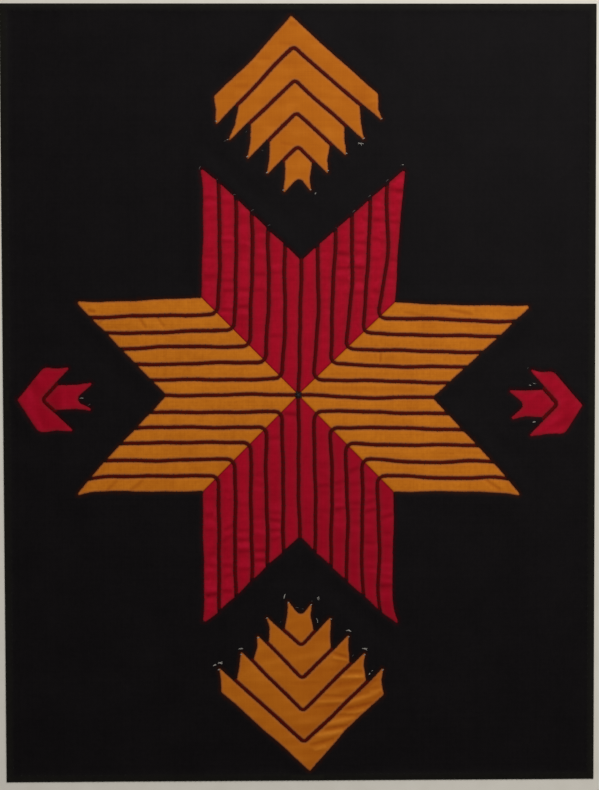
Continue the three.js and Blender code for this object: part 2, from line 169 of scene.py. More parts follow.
# %% [markdown]
# ## Drawing on the flat
#
# A point of the flat pattern is one complex number: the real part runs to the right, the imaginary part
# up. Adding moves a point, and multiplying by e to the i times an angle turns it. NumPy does either to a
# whole outline at once, which keeps the drawing short.
#
# Every window is drawn the same way: a list of sharp corners becomes a closed line with rounded corners,
# and the line is then let stray by a small smooth amount.

# %% Wander, corners and outlines
WANDER = {"reach": 0.35, "long_wave": 85, "long_phase": 2.4, "short_wave": 33, "short_phase": 4.1,
          "short_share": 0.45, "fade_in": 20}
SEEDS = {"level": 3, "upright": 5.5, "sprig": 7, "across_sprig": 0.7, "sprig_windows": 50}
WAIST = 1.2  # how far a chevron's side is drawn in, half way from its shoulder to its tip
EDGE_STEP = 1.6  # from one point of a straight edge to the next
ARC_STEP = math.radians(24)
TREMBLE = {"reach": 0.2, "wave": 5, "next_window": 40.0, "second": 11.3}  # each turned edge's unevenness


def turned(p, degrees):
    return p * np.exp(1j * np.radians(degrees))


def signed_area(ring):
    """The area within a closed line: below zero where the line runs clockwise."""
    return (ring.conjugate() * np.roll(ring, -1)).imag.sum() / 2


def wander(seed, along):
    """How far a hand-cut line strays sideways at a place along it."""
    long = np.sin(2 * np.pi * along / WANDER["long_wave"] + WANDER["long_phase"] * seed)
    short = np.sin(2 * np.pi * along / WANDER["short_wave"] + WANDER["short_phase"] * seed)
    return WANDER["reach"] * (long + WANDER["short_share"] * short)


def rounded_corner(at, radius, before, after):
    """The points of a rounded corner between the edges that come from before and leave for after."""
    back = (before - at) / abs(before - at)
    on = (after - at) / abs(after - at)
    middle = (back + on) / abs(back + on)
    half = math.acos(np.clip((back.conjugate() * on).real, -1, 1)) / 2
    centre = at + middle * radius / math.sin(half)
    start = at + back * radius / math.tan(half) - centre
    sweep = (math.pi - 2 * half) * np.sign((on.conjugate() * back).imag)
    steps = max(2, math.ceil(abs(sweep) / ARC_STEP))
    return centre + start * np.exp(1j * np.linspace(0, sweep, steps + 1))


def tremble(ring, seed):
    """The small unevenness of a turned edge, different for each window."""
    spots = [Vector((p.real, p.imag, TREMBLE["next_window"] * seed)) / TREMBLE["wave"] for p in ring]
    lift = Vector((0, 0, TREMBLE["second"]))
    shifts = [complex(noise.noise(s), noise.noise(s + lift)) for s in spots]
    return ring + TREMBLE["reach"] * np.array(shifts)


def outline(corners, seed):
    """A closed anticlockwise line through corners. Each is (place, radius, how its line strays)."""
    count = len(corners)
    arcs = [
        rounded_corner(at, radius, corners[i - 1][0], corners[(i + 1) % count][0])
        for i, (at, radius, _) in enumerate(corners)
    ]
    stretches = []
    for i, arc in enumerate(arcs):
        stray, next_stray = corners[i][2], corners[(i + 1) % count][2]
        start, end = arc[-1], arcs[(i + 1) % count][0]
        steps = max(1, math.ceil(abs(end - start) / EDGE_STEP))
        share = np.arange(1, steps) / steps
        edge = start + (end - start) * share
        stretches.append(arc + stray(arc))
        stretches.append(edge + (1 - share) * stray(edge) + share * next_stray(edge))
    ring = tremble(np.concatenate(stretches), seed)
    return ring if signed_area(ring) > 0 else ring[::-1]


square = outline([(corner, 2, lambda p: 0) for corner in (0, 10, 10 + 10j, 10j)], seed=0)
print("a trial square with round corners has", len(square), "points")

# %% [markdown]
# ## The star's windows
#
# Each quarter of the star holds six L-shaped windows. A window runs in from a level arm, turns on the
# diagonal and runs out along an upright arm, so half of it shows orange and half red. One function draws
# a quarter, and the signs of x and y mirror it into the other three. The last step moves everything to
# where it was really cut: the middle, the four inner corners and the ends of the arms are each a little
# out of true, and what lies between them follows in proportion.

# %% Draw the star
HOOK = {"from": 0.8, "over": 0.2, "power": 4}  # a tip flicks out in the last fifth of its way


def arm_end(from_middle):
    """Where the slanted end of an arm lies, at a distance from the arm's middle line."""
    return STAR["valley"] + STAR["end_slope"] * from_middle


def out_of_true(q, arm, side):
    """How far points on one side of an arm (-1 left, 1 right) are moved, in the arm's own frame."""
    from_middle = abs(q.real)
    share = np.minimum(1, from_middle / STAR["half_arm"])
    outward = np.clip((q.imag - from_middle) / (arm_end(from_middle) - from_middle), 0, 1)
    corner = turned(side + 1j, arm["turn"])
    corner_shift = CORNERS[round(corner.real), round(corner.imag)]
    diagonal = turned(CENTRE + share * (corner_shift - CENTRE), -arm["turn"])
    tip = arm["left"] if side < 0 else arm["right"]
    end = arm["valley"] + share * (tip - arm["valley"])
    flick = np.clip((outward - HOOK["from"]) / HOOK["over"], 0, 1) ** 2
    hook = arm["hooks"][0 if side < 0 else 1] * share ** HOOK["power"] * flick
    return diagonal + outward * (end - diagonal) + side * hook


def uneven(p):
    """Moves points of the star to where they were really cut."""
    p = np.array(p, dtype=complex)
    moved = p.copy()
    waiting = np.ones(p.shape, bool)
    for arm in ARMS:
        q = turned(p, -arm["turn"])
        here = waiting & (q.imag >= abs(q.real) - 1e-9)
        waiting &= ~here
        shift = np.where(q.real < 0, out_of_true(q, arm, -1), out_of_true(q, arm, 1))
        moved[here] = turned(q + shift, arm["turn"])[here]
    return moved


def drift(arm, line, along):
    """How far a black line of an arm drifts at a place along it: most half way, nothing at its ends."""
    if abs(line) == STAR["stripes"]:
        return 0
    start = abs(line) * PITCH
    share = np.clip((along - start) / (arm_end(start) - start), 0, 1)
    return DRIFTS[arm][STAR["stripes"] - 1 + line] * np.sin(np.pi * share) ** 2


def stripe_side(sx, sy, line, offset, bend, tip):
    """One side of a bent stripe, in the quarter where x has the sign sx and y the sign sy."""
    d = line * PITCH + offset
    level = SEEDS["level"] * sx + line * sy
    upright = SEEDS["upright"] * sy + line * sx
    upright_arm = "top" if sy > 0 else "bottom"
    level_arm = "right" if sx > 0 else "left"

    def fade(along):
        return np.minimum(1, abs(along) / WANDER["fade_in"])

    def stray(p):
        x, y = abs(p.real), abs(p.imag)
        sideways = fade(y) * wander(upright, y) + drift(upright_arm, sx * line, y)
        return sideways + 1j * (fade(x) * wander(level, x) + drift(level_arm, sy * line, x))

    return [
        (complex(sx * arm_end(d), sy * d), tip, stray),
        (complex(sx * d, sy * d), bend, stray),
        (complex(sx * d, sy * arm_end(d)), tip, stray),
    ]


def star_windows():
    windows = []
    last = STAR["stripes"]
    for sx in (-1, 1):
        for sy in (-1, 1):
            for n in range(1, last + 1):
                inner_bend = ROUNDING["star_centre"] if n == 1 else ROUNDING["star_line"] - LINE / 2
                near = stripe_side(sx, sy, n - 1, LINE / 2, inner_bend, ROUNDING["tip"])
                if n == last:
                    far = stripe_side(sx, sy, n, 0, ROUNDING["outline"], ROUNDING["blunt"])
                else:
                    outer_bend = ROUNDING["star_line"] + LINE / 2
                    far = stripe_side(sx, sy, n, -LINE / 2, outer_bend, ROUNDING["tip"])
                windows.append(uneven(outline(near + far[::-1], seed=len(windows))))
    return windows


STAR_WINDOWS = star_windows()
print(len(STAR_WINDOWS), "windows in the star")

# %% [markdown]
# ## The sprigs' windows
#
# A sprig is a stack of chevrons that points away from the star, each narrower than the one outside it.
# Its lower edge ends in two sharp tips. A chevron is worked out in the sprig's own frame, with the inner
# end at zero and the apex straight up, and then leaned and carried to its side of the star.

# %% Draw the sprigs
def on_sprig(sprig, p):
    leaned = turned(p, sprig["lean"]) + sprig["aside"] + 1j * sprig["start"]
    return turned(leaned, sprig["turn"])


def lower_edge(sprig, k, sign):
    """The run from a chevron's notch to its tip on one side, and the slope of that edge."""
    size = sprig["size"]
    off = sprig["left"] if sign < 0 else sprig["right"]
    spread = size["half_width"] - k * size["taper"] + size["flare"]
    run = spread + off["out"][k]
    return run, (spread * LINE_SLOPE + off["on"][k]) / run


def chevron_side(sprig, k, apex, notch, sign):
    """Shoulder and tip of chevron k on the left (sign -1) or the right (sign 1)."""
    size = sprig["size"]
    off = sprig["left"] if sign < 0 else sprig["right"]
    x = sign * (size["half_width"] - k * size["taper"] + off["reach"][k])
    if k == 0:
        slope, brow = size["crown_slope"], sprig["brows"][0 if sign < 0 else 1]
    else:
        slope, brow = lower_edge(sprig, k - 1, sign)[1], 0
    shoulder = x + 1j * (apex.imag - abs(x - apex.real) * slope + brow)
    run, slope = lower_edge(sprig, k, sign)
    return shoulder, sign * run + 1j * (notch.imag - run * slope)


def chevron(sprig, k):
    """Apex, notch, and both sides' shoulder and tip of chevron k, counted from the outermost."""
    size = sprig["size"]
    line = (size["chevrons"] - k) * size["pitch"]
    if k == 0:
        apex = sprig["askew"] + 1j * (line - size["pitch"] + sprig["crown"])
    else:
        apex = 1j * (line - HALF_GAP)
    notch = 1j * (line - size["pitch"] + HALF_GAP)
    left = chevron_side(sprig, k, apex, notch, -1)
    right = chevron_side(sprig, k, apex, notch, 1)
    return apex, notch, left, right


def sprig_windows(sprig, index):
    def straying(line):
        seed = SEEDS["sprig"] * index + line
        return lambda p: wander(seed + SEEDS["across_sprig"], p.imag) + 1j * wander(seed, p.real)

    size = sprig["size"]
    windows = []
    for k in range(size["chevrons"]):
        first, last = k == 0, k == size["chevrons"] - 1
        apex, notch, left, right = chevron(sprig, k)
        upper, lower = straying(k), straying(k + 1)
        apex_radius = ROUNDING["outline"] if first else ROUNDING["chevron_line"] - LINE / 2
        notch_radius = ROUNDING["last_notch"] if last else ROUNDING["chevron_line"] + LINE / 2
        brow = size["shoulder"] if first else ROUNDING["tip"]
        corners = [(apex, apex_radius, upper)]
        for sign, (shoulder, tip), bow in ((-1, left, sprig["bows"][0]), (1, right, sprig["bows"][1])):
            waist = (shoulder + tip) / 2 - sign * WAIST
            side = [(shoulder, brow, upper), (waist, ROUNDING["waist"], upper), (tip, size["tip"], lower)]
            if first and bow:
                inward = 1j * (shoulder - apex) / abs(shoulder - apex) * -sign
                side.insert(0, ((apex + shoulder) / 2 + bow * inward, ROUNDING["bow"], upper))
            corners += side if sign < 0 else side[::-1]
            if sign < 0:
                corners.append((notch, notch_radius, lower))
        windows.append(on_sprig(sprig, outline(corners, seed=SEEDS["sprig_windows"] + 10 * index + k)))
    return windows


SPRIG_WINDOWS = [sprig_windows(sprig, index) for index, sprig in enumerate(SPRIGS)]
WINDOWS = STAR_WINDOWS + [ring for rings in SPRIG_WINDOWS for ring in rings]
print(len(WINDOWS), "windows in all, with", sum(map(len, WINDOWS)), "points")

# %% [markdown]
# ## The cut of the coloured cloths
#
# A patch is cut a finger's breadth larger than what shows of it. The four behind the star meet on the
# diagonals. There the orange cloth runs on under the red one, as a seam pressed to one side does, so no
# light falls through the joint.

# %% Cut the patches
UNDERLAP = 2.5  # how far an orange cloth runs on under its red neighbours


def arm_patch(turn, underlap):
    side = STAR["half_arm"] + ALLOWANCE["seam"]
    end = arm_end(STAR["half_arm"]) + ALLOWANCE["seam"]
    notch = STAR["valley"] + ALLOWANCE["seam"] * math.hypot(1, STAR["end_slope"])
    tip = (end - notch) / STAR["end_slope"]
    drop = underlap * math.sqrt(2)
    ring = [-1j * drop, side + 1j * (side - drop), side + 1j * end, tip + 1j * end, 1j * notch,
            -tip + 1j * end, -side + 1j * end, -side + 1j * (side - drop)]
    return turned(np.array(ring), turn)


def sprig_patch(sprig):
    seam, askew = ALLOWANCE["seam"], sprig["askew"]
    apex, _, *first = chevron(sprig, 0)
    *_, left, right = chevron(sprig, sprig["size"]["chevrons"] - 1)
    top = apex.imag + ALLOWANCE["apex"]
    ring = [askew - seam + 1j * top]
    for sign, (shoulder, tip), (_, last_tip) in ((-1, first[0], left), (1, first[1], right)):
        wide = sign * (max(abs(shoulder.real), abs(tip.real)) + seam)
        side = [wide + 1j * (shoulder.imag + seam / 2), wide + 1j * (tip.imag - seam),
                last_tip.real + sign * seam + 1j * (last_tip.imag - seam)]
        ring += side if sign < 0 else side[::-1]
    ring.append(askew + seam + 1j * top)
    return on_sprig(sprig, np.array(ring))


PATCHES = []
for arm in ARMS:
    red = arm["name"] in ("top", "bottom")
    ring = uneven(arm_patch(arm["turn"], 0 if red else UNDERLAP))
    PATCHES.append({"name": "star_patch_" + arm["name"], "ring": ring, "arm": arm, "red": red})
for sprig in SPRIGS:
    red = sprig["name"] in ("left", "right")
    PATCHES.append({"name": "sprig_patch_" + sprig["name"], "ring": sprig_patch(sprig),
                    "sprig": sprig, "red": red})
print([patch["name"] for patch in PATCHES])

# %% [markdown]
# ## How far is it to the nearest edge?
#
# Nearly every height on this cloth depends on one question: how far is this point from the edge of a
# window, and on which side? A k-d tree over finely spaced points of the outlines finds the nearest one
# at once. The side comes from the edge's own direction there: the outlines run anticlockwise, so a
# window lies to the left of its edge.

# %% Measure distances
SAMPLE = 0.35  # spacing of the points in the tree
ACROSS = LINE + 1  # from one window's edge over a black line, to just inside the next window
NOISE_STEP = 17.3  # so that noise of one seed has nothing in common with the next


def densified(ring, spacing):
    """The same closed line, with points no further apart than spacing."""
    following = np.roll(ring, -1)
    stretches = []
    for a, b in zip(ring, following):
        steps = max(1, math.ceil(abs(b - a) / spacing))
        stretches.append(a + (b - a) * np.arange(steps) / steps)
    return np.concatenate(stretches)


def directions(ring):
    """The way a closed line runs at each of its points."""
    along = np.roll(ring, -1) - np.roll(ring, 1)
    return along / abs(along)


SAMPLES = [densified(ring, SAMPLE) for ring in WINDOWS]
SAMPLE_PLACES = np.concatenate(SAMPLES)
SAMPLE_DIRECTIONS = np.concatenate([directions(ring) for ring in SAMPLES])
tree = kdtree.KDTree(len(SAMPLE_PLACES))
for i, p in enumerate(SAMPLE_PLACES):
    tree.insert((p.real, p.imag, 0), i)
tree.balance()


def nearest_samples(points):
    return np.array([tree.find((p.real, p.imag, 0))[1] for p in points])


def from_window(points):
    """Distance from each point to the nearest window's edge: negative inside a window."""
    nearest = nearest_samples(points)
    offset = (points - SAMPLE_PLACES[nearest]) * SAMPLE_DIRECTIONS[nearest].conjugate()
    past_sample = np.maximum(0, abs(offset.real) - SAMPLE / 2)
    return np.copysign(np.hypot(past_sample, offset.imag), -offset.imag)


def between_windows(points):
    """Whether each point is on a black line, with one window beside it and another right across."""
    nearest = nearest_samples(points)
    outward = -1j * SAMPLE_DIRECTIONS[nearest]
    near = abs(points - SAMPLE_PLACES[nearest]) < LINE
    return near & (from_window(SAMPLE_PLACES[nearest] + outward * ACROSS) < 0)


def from_ring(ring, points):
    """Distance from each point to a simple closed line: negative inside it."""
    nearest = np.full(len(points), np.inf)
    inside = np.zeros(len(points), bool)
    for a, b in zip(ring, np.roll(ring, -1)):
        nearest = np.minimum(nearest, from_line(points, a, b)[0])
        crosses = (a.imag > points.imag) != (b.imag > points.imag)
        rise = b.imag - a.imag if b.imag != a.imag else 1
        at = a.real + (points.imag - a.imag) * (b.real - a.real) / rise
        inside ^= crosses & (points.real < at)
    return np.where(inside, -nearest, nearest)


def from_line(points, a, b):
    """Distance to a straight line from a to b, and the share of it that is behind the nearest place."""
    share = np.clip(((points - a) * (b - a).conjugate()).real / abs(b - a) ** 2, 0, 1)
    return abs(points - a - share * (b - a)), share


def smooth(low, high, x):
    t = np.clip((x - low) / (high - low), 0, 1)
    return t * t * (3 - 2 * t)


def ripple(points, along, across, turn=0, seed=0):
    """Soft noise from -1 to 1, in waves of these two lengths, with the first turned by some degrees."""
    q = turned(points, -turn)
    deep = NOISE_STEP * np.broadcast_to(seed, q.shape)
    return np.array([noise.noise(Vector((p.real / along, p.imag / across, z))) for p, z in zip(q, deep)])


print(len(SAMPLE_PLACES), "points in the tree")

# %% [markdown]
# ## Meshing a cloth with holes
#
# A cloth is a closed thin solid: an upper side, an under side, and one shared line of vertices round the
# hem and round each window, where the two meet in a fold. Constrained Delaunay triangulation fills each
# side: it takes the outlines as fixed edges and any loose points between them. That puts many points
# where the cloth turns under and few where it lies flat, which a plain grid can't do.

# %% Mesh helpers
def triangulate(rings, loose):
    """Triangles within closed lines, through loose points, as rows of indices into all of them in turn.
    The first line goes round the cloth, and the others round the holes in it."""
    edges = []
    start = 0
    for ring in rings:
        numbers = list(range(start, start + len(ring)))
        edges += list(zip(numbers, numbers[1:] + numbers[:1]))
        start += len(ring)
    points = np.concatenate([*rings, loose])
    flat = [Vector((p.real, p.imag)) for p in points]
    inside_only = 1
    result = geometry.delaunay_2d_cdt(flat, edges, [], inside_only, 1e-7)
    first = np.array([min(same) if same else -1 for same in result[3]])
    triangles = first[np.array(result[2])]
    if len(rings) > 1:
        triangles = triangles[from_window(points[triangles].mean(axis=1)) > 0]
    return triangles


def thin_solid(name, rings, upper, under, upper_z, under_z, edge_z):
    """A closed cloth between its lines. upper and under are the loose points of its two sides. A corner
    that both sides cut off alike would have no thickness, so it is left out."""
    border = np.concatenate(rings)
    upper_faces = triangulate(rings, upper)
    under_faces = triangulate(rings, under)[:, ::-1]
    under_faces = np.where(under_faces >= len(border), under_faces + len(upper), under_faces)
    flat = np.concatenate([border, upper, under])
    z = np.concatenate([edge_z, upper_z, under_z])
    places = np.stack([flat.real, flat.imag, z], axis=1) * MM
    faces = np.concatenate([upper_faces, under_faces])
    corners = np.sort(faces, axis=1)
    _, kind, uses = np.unique(corners, axis=0, return_inverse=True, return_counts=True)
    return mesh_object(name, places, faces[uses[kind.ravel()] == 1])


def mesh_object(name, places, faces):
    mesh = bpy.data.meshes.new(name)
    mesh.from_pydata(places.tolist(), [], faces.tolist())
    mesh.shade_smooth()
    return linked(name, mesh)


def set_attributes(piece, **attributes):
    """Stores one number for each vertex under each of these names, for the material to read."""
    for name, values in attributes.items():
        layer = piece.data.attributes.new(name, "FLOAT", "POINT")
        layer.data.foreach_set("value", np.asarray(values, dtype=np.float32))


def grid(low, high, spacing, jitter, seed):
    """Points in rows over a rectangle, each shifted a little so that no pattern shows."""
    xs = np.arange(low.real, high.real, spacing)
    ys = np.arange(low.imag, high.imag, spacing * math.sqrt(3) / 2)
    x, y = np.meshgrid(xs, ys)
    x = x + spacing / 2 * (np.arange(len(ys)) % 2)[:, None]
    random = np.random.default_rng(seed)
    shift = random.uniform(-jitter, jitter, (2, *x.shape)) * spacing
    return (x + shift[0] + 1j * (y + shift[1])).ravel()


print("a centimetre of close grid has", len(grid(0, 10 + 10j, 1, 0.1, seed=0)), "points")

# %% [markdown]
# ## The black cloth
#
# Seen close, the black cloth isn't flat. Round each window its edge is turned under: the fold rises from
# the cloth behind in a small round nose, and the turned-under allowance lifts a band next to it. Between
# two windows both folds meet in one narrow rib. Over the patches the cloth lies higher than beside them,
# and it sinks back over a few millimetres. The outer edge has a hem, which is one more layer.
#
# All of this is height as a function of distance, so each part is one line of arithmetic.

# %% Work out the black cloth's height
# A window's edge turns at nose, a black line's top is at rib, and the face lies at backed over a patch
# and at field beside it. A band rises between its first two distances and falls between its last two.
LAYERS = {"floor": 0.05, "patch": 0.95, "lining": 1.02, "nose": 1.15, "rib": 1.5, "backed": 1.6,
          "field": 1.05, "hem": 1.5}
# FOLD's last size is how far from a window the painted highlight on the black fold reaches.
FOLD = {"nose": 0.7, "ridge": 0.16, "band": (0.8, 2.2, 4.5, 6.5), "highlight_reach": 2.8}
HEM = {"width": 6, "seam": 0.6, "nose": 0.9, "edge": 0.6, "step": 0.8, "fade": 2}
SINK = {"face": (0, 9), "back": (0.3, 3)}  # where beyond a patch the cloth sinks to its own level
SLACK = {"height": 0.12, "wave": 7, "band": (0.5, 3, 8, 20), "seed": 3}
SAG = {"height": 0.22, "waves": (75, 55), "from": (2, 20), "seed": 5}
HALF_CLOTH = (CLOTH["width"] + 1j * CLOTH["height"]) / 2


def from_border(points):
    return np.minimum(HALF_CLOTH.real - abs(points.real), HALF_CLOTH.imag - abs(points.imag))


def from_each_patch(points):
    return np.array([from_ring(patch["ring"], points) for patch in PATCHES])


def from_patches(points):
    """Distance to the nearest patch behind the cloth: negative over it."""
    return from_each_patch(points).min(axis=0)


def round_edge(distance, radius):
    """Rises from 0 to 1 as a quarter circle."""
    return np.sqrt(np.clip(1 - (1 - np.minimum(distance / radius, 1)) ** 2, 0, 1))


def band(marks, x):
    """Rises from 0 to 1 between the first two marks, and falls again between the last two."""
    return smooth(*marks[:2], x) * (1 - smooth(*marks[2:], x))


def face_height(points, gap):
    """Height of the black cloth's face, at points that lie gap outside the windows."""
    backed = 1 - smooth(*SINK["face"], from_patches(points))
    level = LAYERS["field"] + (LAYERS["backed"] - LAYERS["field"]) * backed
    level += (LAYERS["rib"] - LAYERS["backed"]) * (1 - smooth(LINE / 2, LINE, gap))
    level += FOLD["ridge"] * band(FOLD["band"], gap)
    slack = ripple(points, SLACK["wave"], SLACK["wave"], seed=SLACK["seed"])
    level += SLACK["height"] * band(SLACK["band"], gap) * slack
    level += SAG["height"] * smooth(*SAG["from"], gap) * ripple(points, *SAG["waves"], seed=SAG["seed"])
    inset = from_border(points)
    in_hem = 1 - smooth(HEM["width"] - HEM["step"], HEM["width"] + HEM["step"], inset)
    level += (LAYERS["hem"] - LAYERS["field"]) * in_hem
    level = LAYERS["nose"] + (level - LAYERS["nose"]) * round_edge(gap, FOLD["nose"])
    return HEM["edge"] + (level - HEM["edge"]) * round_edge(inset, HEM["nose"])


def back_height(points):
    """Height of the under side, which comes down past the edge of each patch."""
    beyond = smooth(*SINK["back"], from_patches(points))
    return LAYERS["lining"] + (LAYERS["floor"] - LAYERS["lining"]) * beyond


spot = np.array([CENTRE + 40j])
print(f"a black line is {face_height(spot, from_window(spot))[0]:.2f} mm above the floor")

# %% [markdown]
# ## Points for the black cloth
#
# The mesh needs points where the height changes: in close rows beside each window and along the hem. The
# open cloth gets by with a wide grid. The under side only bends at the edges of the patches.

# %% Lay out the black cloth's points
WINDOW_ROWS = (0.1, 0.3, 0.62, 1.05)  # how far from a window's edge each row of points runs
OWN_SHARE = 0.9  # a row stops where it comes nearer to another window than this share of that
HEM_ROWS = (0.15, 0.45, 0.9, 5.2, 6, 6.8)  # how far in from the cloth's own edge
BORDER_STEP = 4
FINE = {"spacing": 2.2, "jitter": 0.2, "from": 1.7, "to": 10, "border": 1.5}
COARSE = {"spacing": 5.5, "jitter": 0.2, "border": 8}
BACK = {"spacing": 9, "jitter": 0.1, "row_step": 5, "slope": (1.5, 2.5), "beyond": 0.25, "within": 3,
        "window": 0.8, "border": 2}


def rectangle_line(inset, spacing):
    """The cloth's border, or a line this far inside it."""
    w, h = HALF_CLOTH.real - inset, HALF_CLOTH.imag - inset
    return densified(np.array([-w - 1j * h, w - 1j * h, w + 1j * h, -w + 1j * h]), spacing)


def beside_windows():
    """Rows of points beside each window, kept only where no other window is nearer."""
    outward = [-1j * directions(ring) for ring in WINDOWS]
    rows = [ring + way * step for ring, way in zip(WINDOWS, outward) for step in WINDOW_ROWS]
    wanted = [np.full(len(ring), step) for ring in WINDOWS for step in WINDOW_ROWS]
    points = np.concatenate(rows)
    return points[from_window(points) > OWN_SHARE * np.concatenate(wanted)]


def face_points():
    """Close rows at the folds, a fine grid round the windows and a coarse one beyond."""
    fine = grid(-HALF_CLOTH, HALF_CLOTH, FINE["spacing"], FINE["jitter"], seed=1)
    gap = from_window(fine)
    fine = fine[(gap > FINE["from"]) & (gap < FINE["to"]) & (from_border(fine) > FINE["border"])]
    coarse = grid(-HALF_CLOTH, HALF_CLOTH, COARSE["spacing"], COARSE["jitter"], seed=2)
    coarse = coarse[(from_window(coarse) >= FINE["to"]) & (from_border(coarse) > COARSE["border"])]
    hem = [rectangle_line(inset, BORDER_STEP) for inset in HEM_ROWS]
    return np.concatenate([beside_windows(), *hem, fine, coarse])


def grown(ring, distance):
    """A closed line moved outwards, with its corners kept sharp."""
    if signed_area(ring) < 0:
        ring = ring[::-1]
    into = ring - np.roll(ring, 1)
    out = np.roll(ring, -1) - ring
    first, second = -1j * into / abs(into), -1j * out / abs(out)
    middle = (first + second) / abs(first + second)
    return ring + middle * distance / (middle * first.conjugate()).real


def back_points():
    """A loose grid, and rows beside each patch where the under side comes down."""
    loose = grid(-HALF_CLOTH, HALF_CLOTH, BACK["spacing"], BACK["jitter"], seed=3)
    middle, half_slope = BACK["slope"]
    loose = loose[abs(from_patches(loose) - middle) > half_slope]
    rows = [densified(grown(patch["ring"], step), BACK["row_step"])
            for patch in PATCHES for step in SINK["back"]]
    points = np.concatenate([*rows, loose])
    beyond = from_patches(points)
    points = points[(beyond > BACK["beyond"]) | (abs(beyond) > BACK["within"])]
    return points[(from_window(points) > BACK["window"]) & (from_border(points) > BACK["border"])]


FACE_POINTS, BACK_POINTS = face_points(), back_points()
print(len(FACE_POINTS), "points on the face and", len(BACK_POINTS), "on the back")

# %% [markdown]
# ## Sewing the black cloth into one mesh
#
# With the points and their heights known, the mesh follows. Each point also gets a few marks, numbers
# from 0 to 1 that tell the finish where a fold, a black line or the hem is.

# %% Make the black cloth
FAR = 9.0  # stands for a distance too great to matter


def make_ground_cloth():
    rings = [rectangle_line(0, BORDER_STEP), *WINDOWS]
    border = len(rings[0])
    edge_z = np.full(sum(map(len, rings)), LAYERS["nose"])
    edge_z[:border] = HEM["edge"]
    upper, under = FACE_POINTS, BACK_POINTS
    gap = from_window(upper)
    piece = thin_solid("black_ground_cloth", rings, upper, under, face_height(upper, gap),
                       back_height(under), edge_z)
    every = np.concatenate([*rings, upper, under])
    at_windows = np.zeros(len(edge_z) - border)
    reach = np.concatenate([np.full(border, FAR), at_windows, gap, np.full(len(under), FAR)])
    # a painted highlight along the black fold, tinted with the colour of the cloth beside it
    fold = 1 - smooth(0, FOLD["highlight_reach"], reach)
    rib = between_windows(every) & (reach < LINE)
    by_red = np.array([patch["red"] for patch in PATCHES])[from_each_patch(every).argmin(axis=0)]
    # the hem band is painted a little lighter and warmer, as light thrown back from the pale board
    in_hem = 1 - smooth(HEM["width"] - HEM["fade"], HEM["width"], from_border(every))
    set_attributes(piece, fold_by_red=fold * by_red, fold_by_orange=fold * ~by_red,
                   rib_in_red=rib & by_red, rib_in_orange=rib & ~by_red, hem=in_hem)
    return piece


ground = make_ground_cloth()
print("black cloth:", len(ground.data.polygons), "triangles")

# %% [markdown]
# ## The red and orange cloths
#
# Only what lies in the windows shows. There the cloth swells a little between the black lines that hold
# it down, so every stripe is lit along one side and shaded along the other. The red cloth was pulled up
# and down as it was sewn, so small puckers cross its stripes; the orange cloth is smoother. Puckers are
# noise stretched along one direction.

# %% Pucker the cloths
# How high each cloth's puckers are, how long and how broad, and how far they are turned, in degrees.
PUCKERS = {
    "star_patch_top": (0.3, 19, 4.4, 0), "star_patch_bottom": (0.18, 18, 4, -6),
    "star_patch_left": (0.1, 9, 6, 60), "star_patch_right": (0.12, 26, 6, -4),
    "sprig_patch_top": (0.16, 14, 6, 0), "sprig_patch_bottom": (0.2, 22, 6, 8),
    "sprig_patch_left": (0.4, 14, 6, -60), "sprig_patch_right": (0.3, 14, 6, 40),
}
GROUPS = {"waves": (24, 26), "mean": 0.65, "swing": 1.1, "least": 0.1, "seed": 40, "seed_step": 0.23}
# Puckers are weaker near the star's centre and near an arm's middle line: a least share, what is added
# to it further out, and the distances between which it is added.
CALMER = ((0.55, 0.45, 40, 90), (0.4, 0.6, PITCH * 0.95, PITCH * 1.1))


def own_turn(patch):
    return (patch["arm"] if "arm" in patch else patch["sprig"])["turn"]


def stripe_numbers(patch, points):
    """Numbers the stripes or chevrons, so that puckers stop at the black lines."""
    if "arm" in patch:
        return np.floor(turned(points, -own_turn(patch)).real / PITCH)
    sprig = patch["sprig"]
    q = turned(turned(points, -sprig["turn"]) - sprig["aside"] - 1j * sprig["start"], -sprig["lean"])
    return np.floor((q.imag + LINE_SLOPE * abs(q.real)) / sprig["size"]["pitch"])


def puckers(patch, points, seed):
    """Small waves that run across a stripe, in groups."""
    height, along, across, turn = PUCKERS[patch["name"]]
    own = seed + GROUPS["seed_step"] * stripe_numbers(patch, points)
    waves = ripple(points, along, across, turn, own)
    groups = ripple(points, *GROUPS["waves"], seed=own + GROUPS["seed"])
    groups = np.clip(GROUPS["mean"] + GROUPS["swing"] * groups, GROUPS["least"], 1)
    if "arm" in patch:
        q = turned(points, -own_turn(patch))
        for (least, more, low, high), distance in zip(CALMER, (q.imag, abs(q.real))):
            groups *= least + more * smooth(low, high, distance)
    return height * groups * waves


print("puckers up to", max(height for height, *_ in PUCKERS.values()), "mm high")
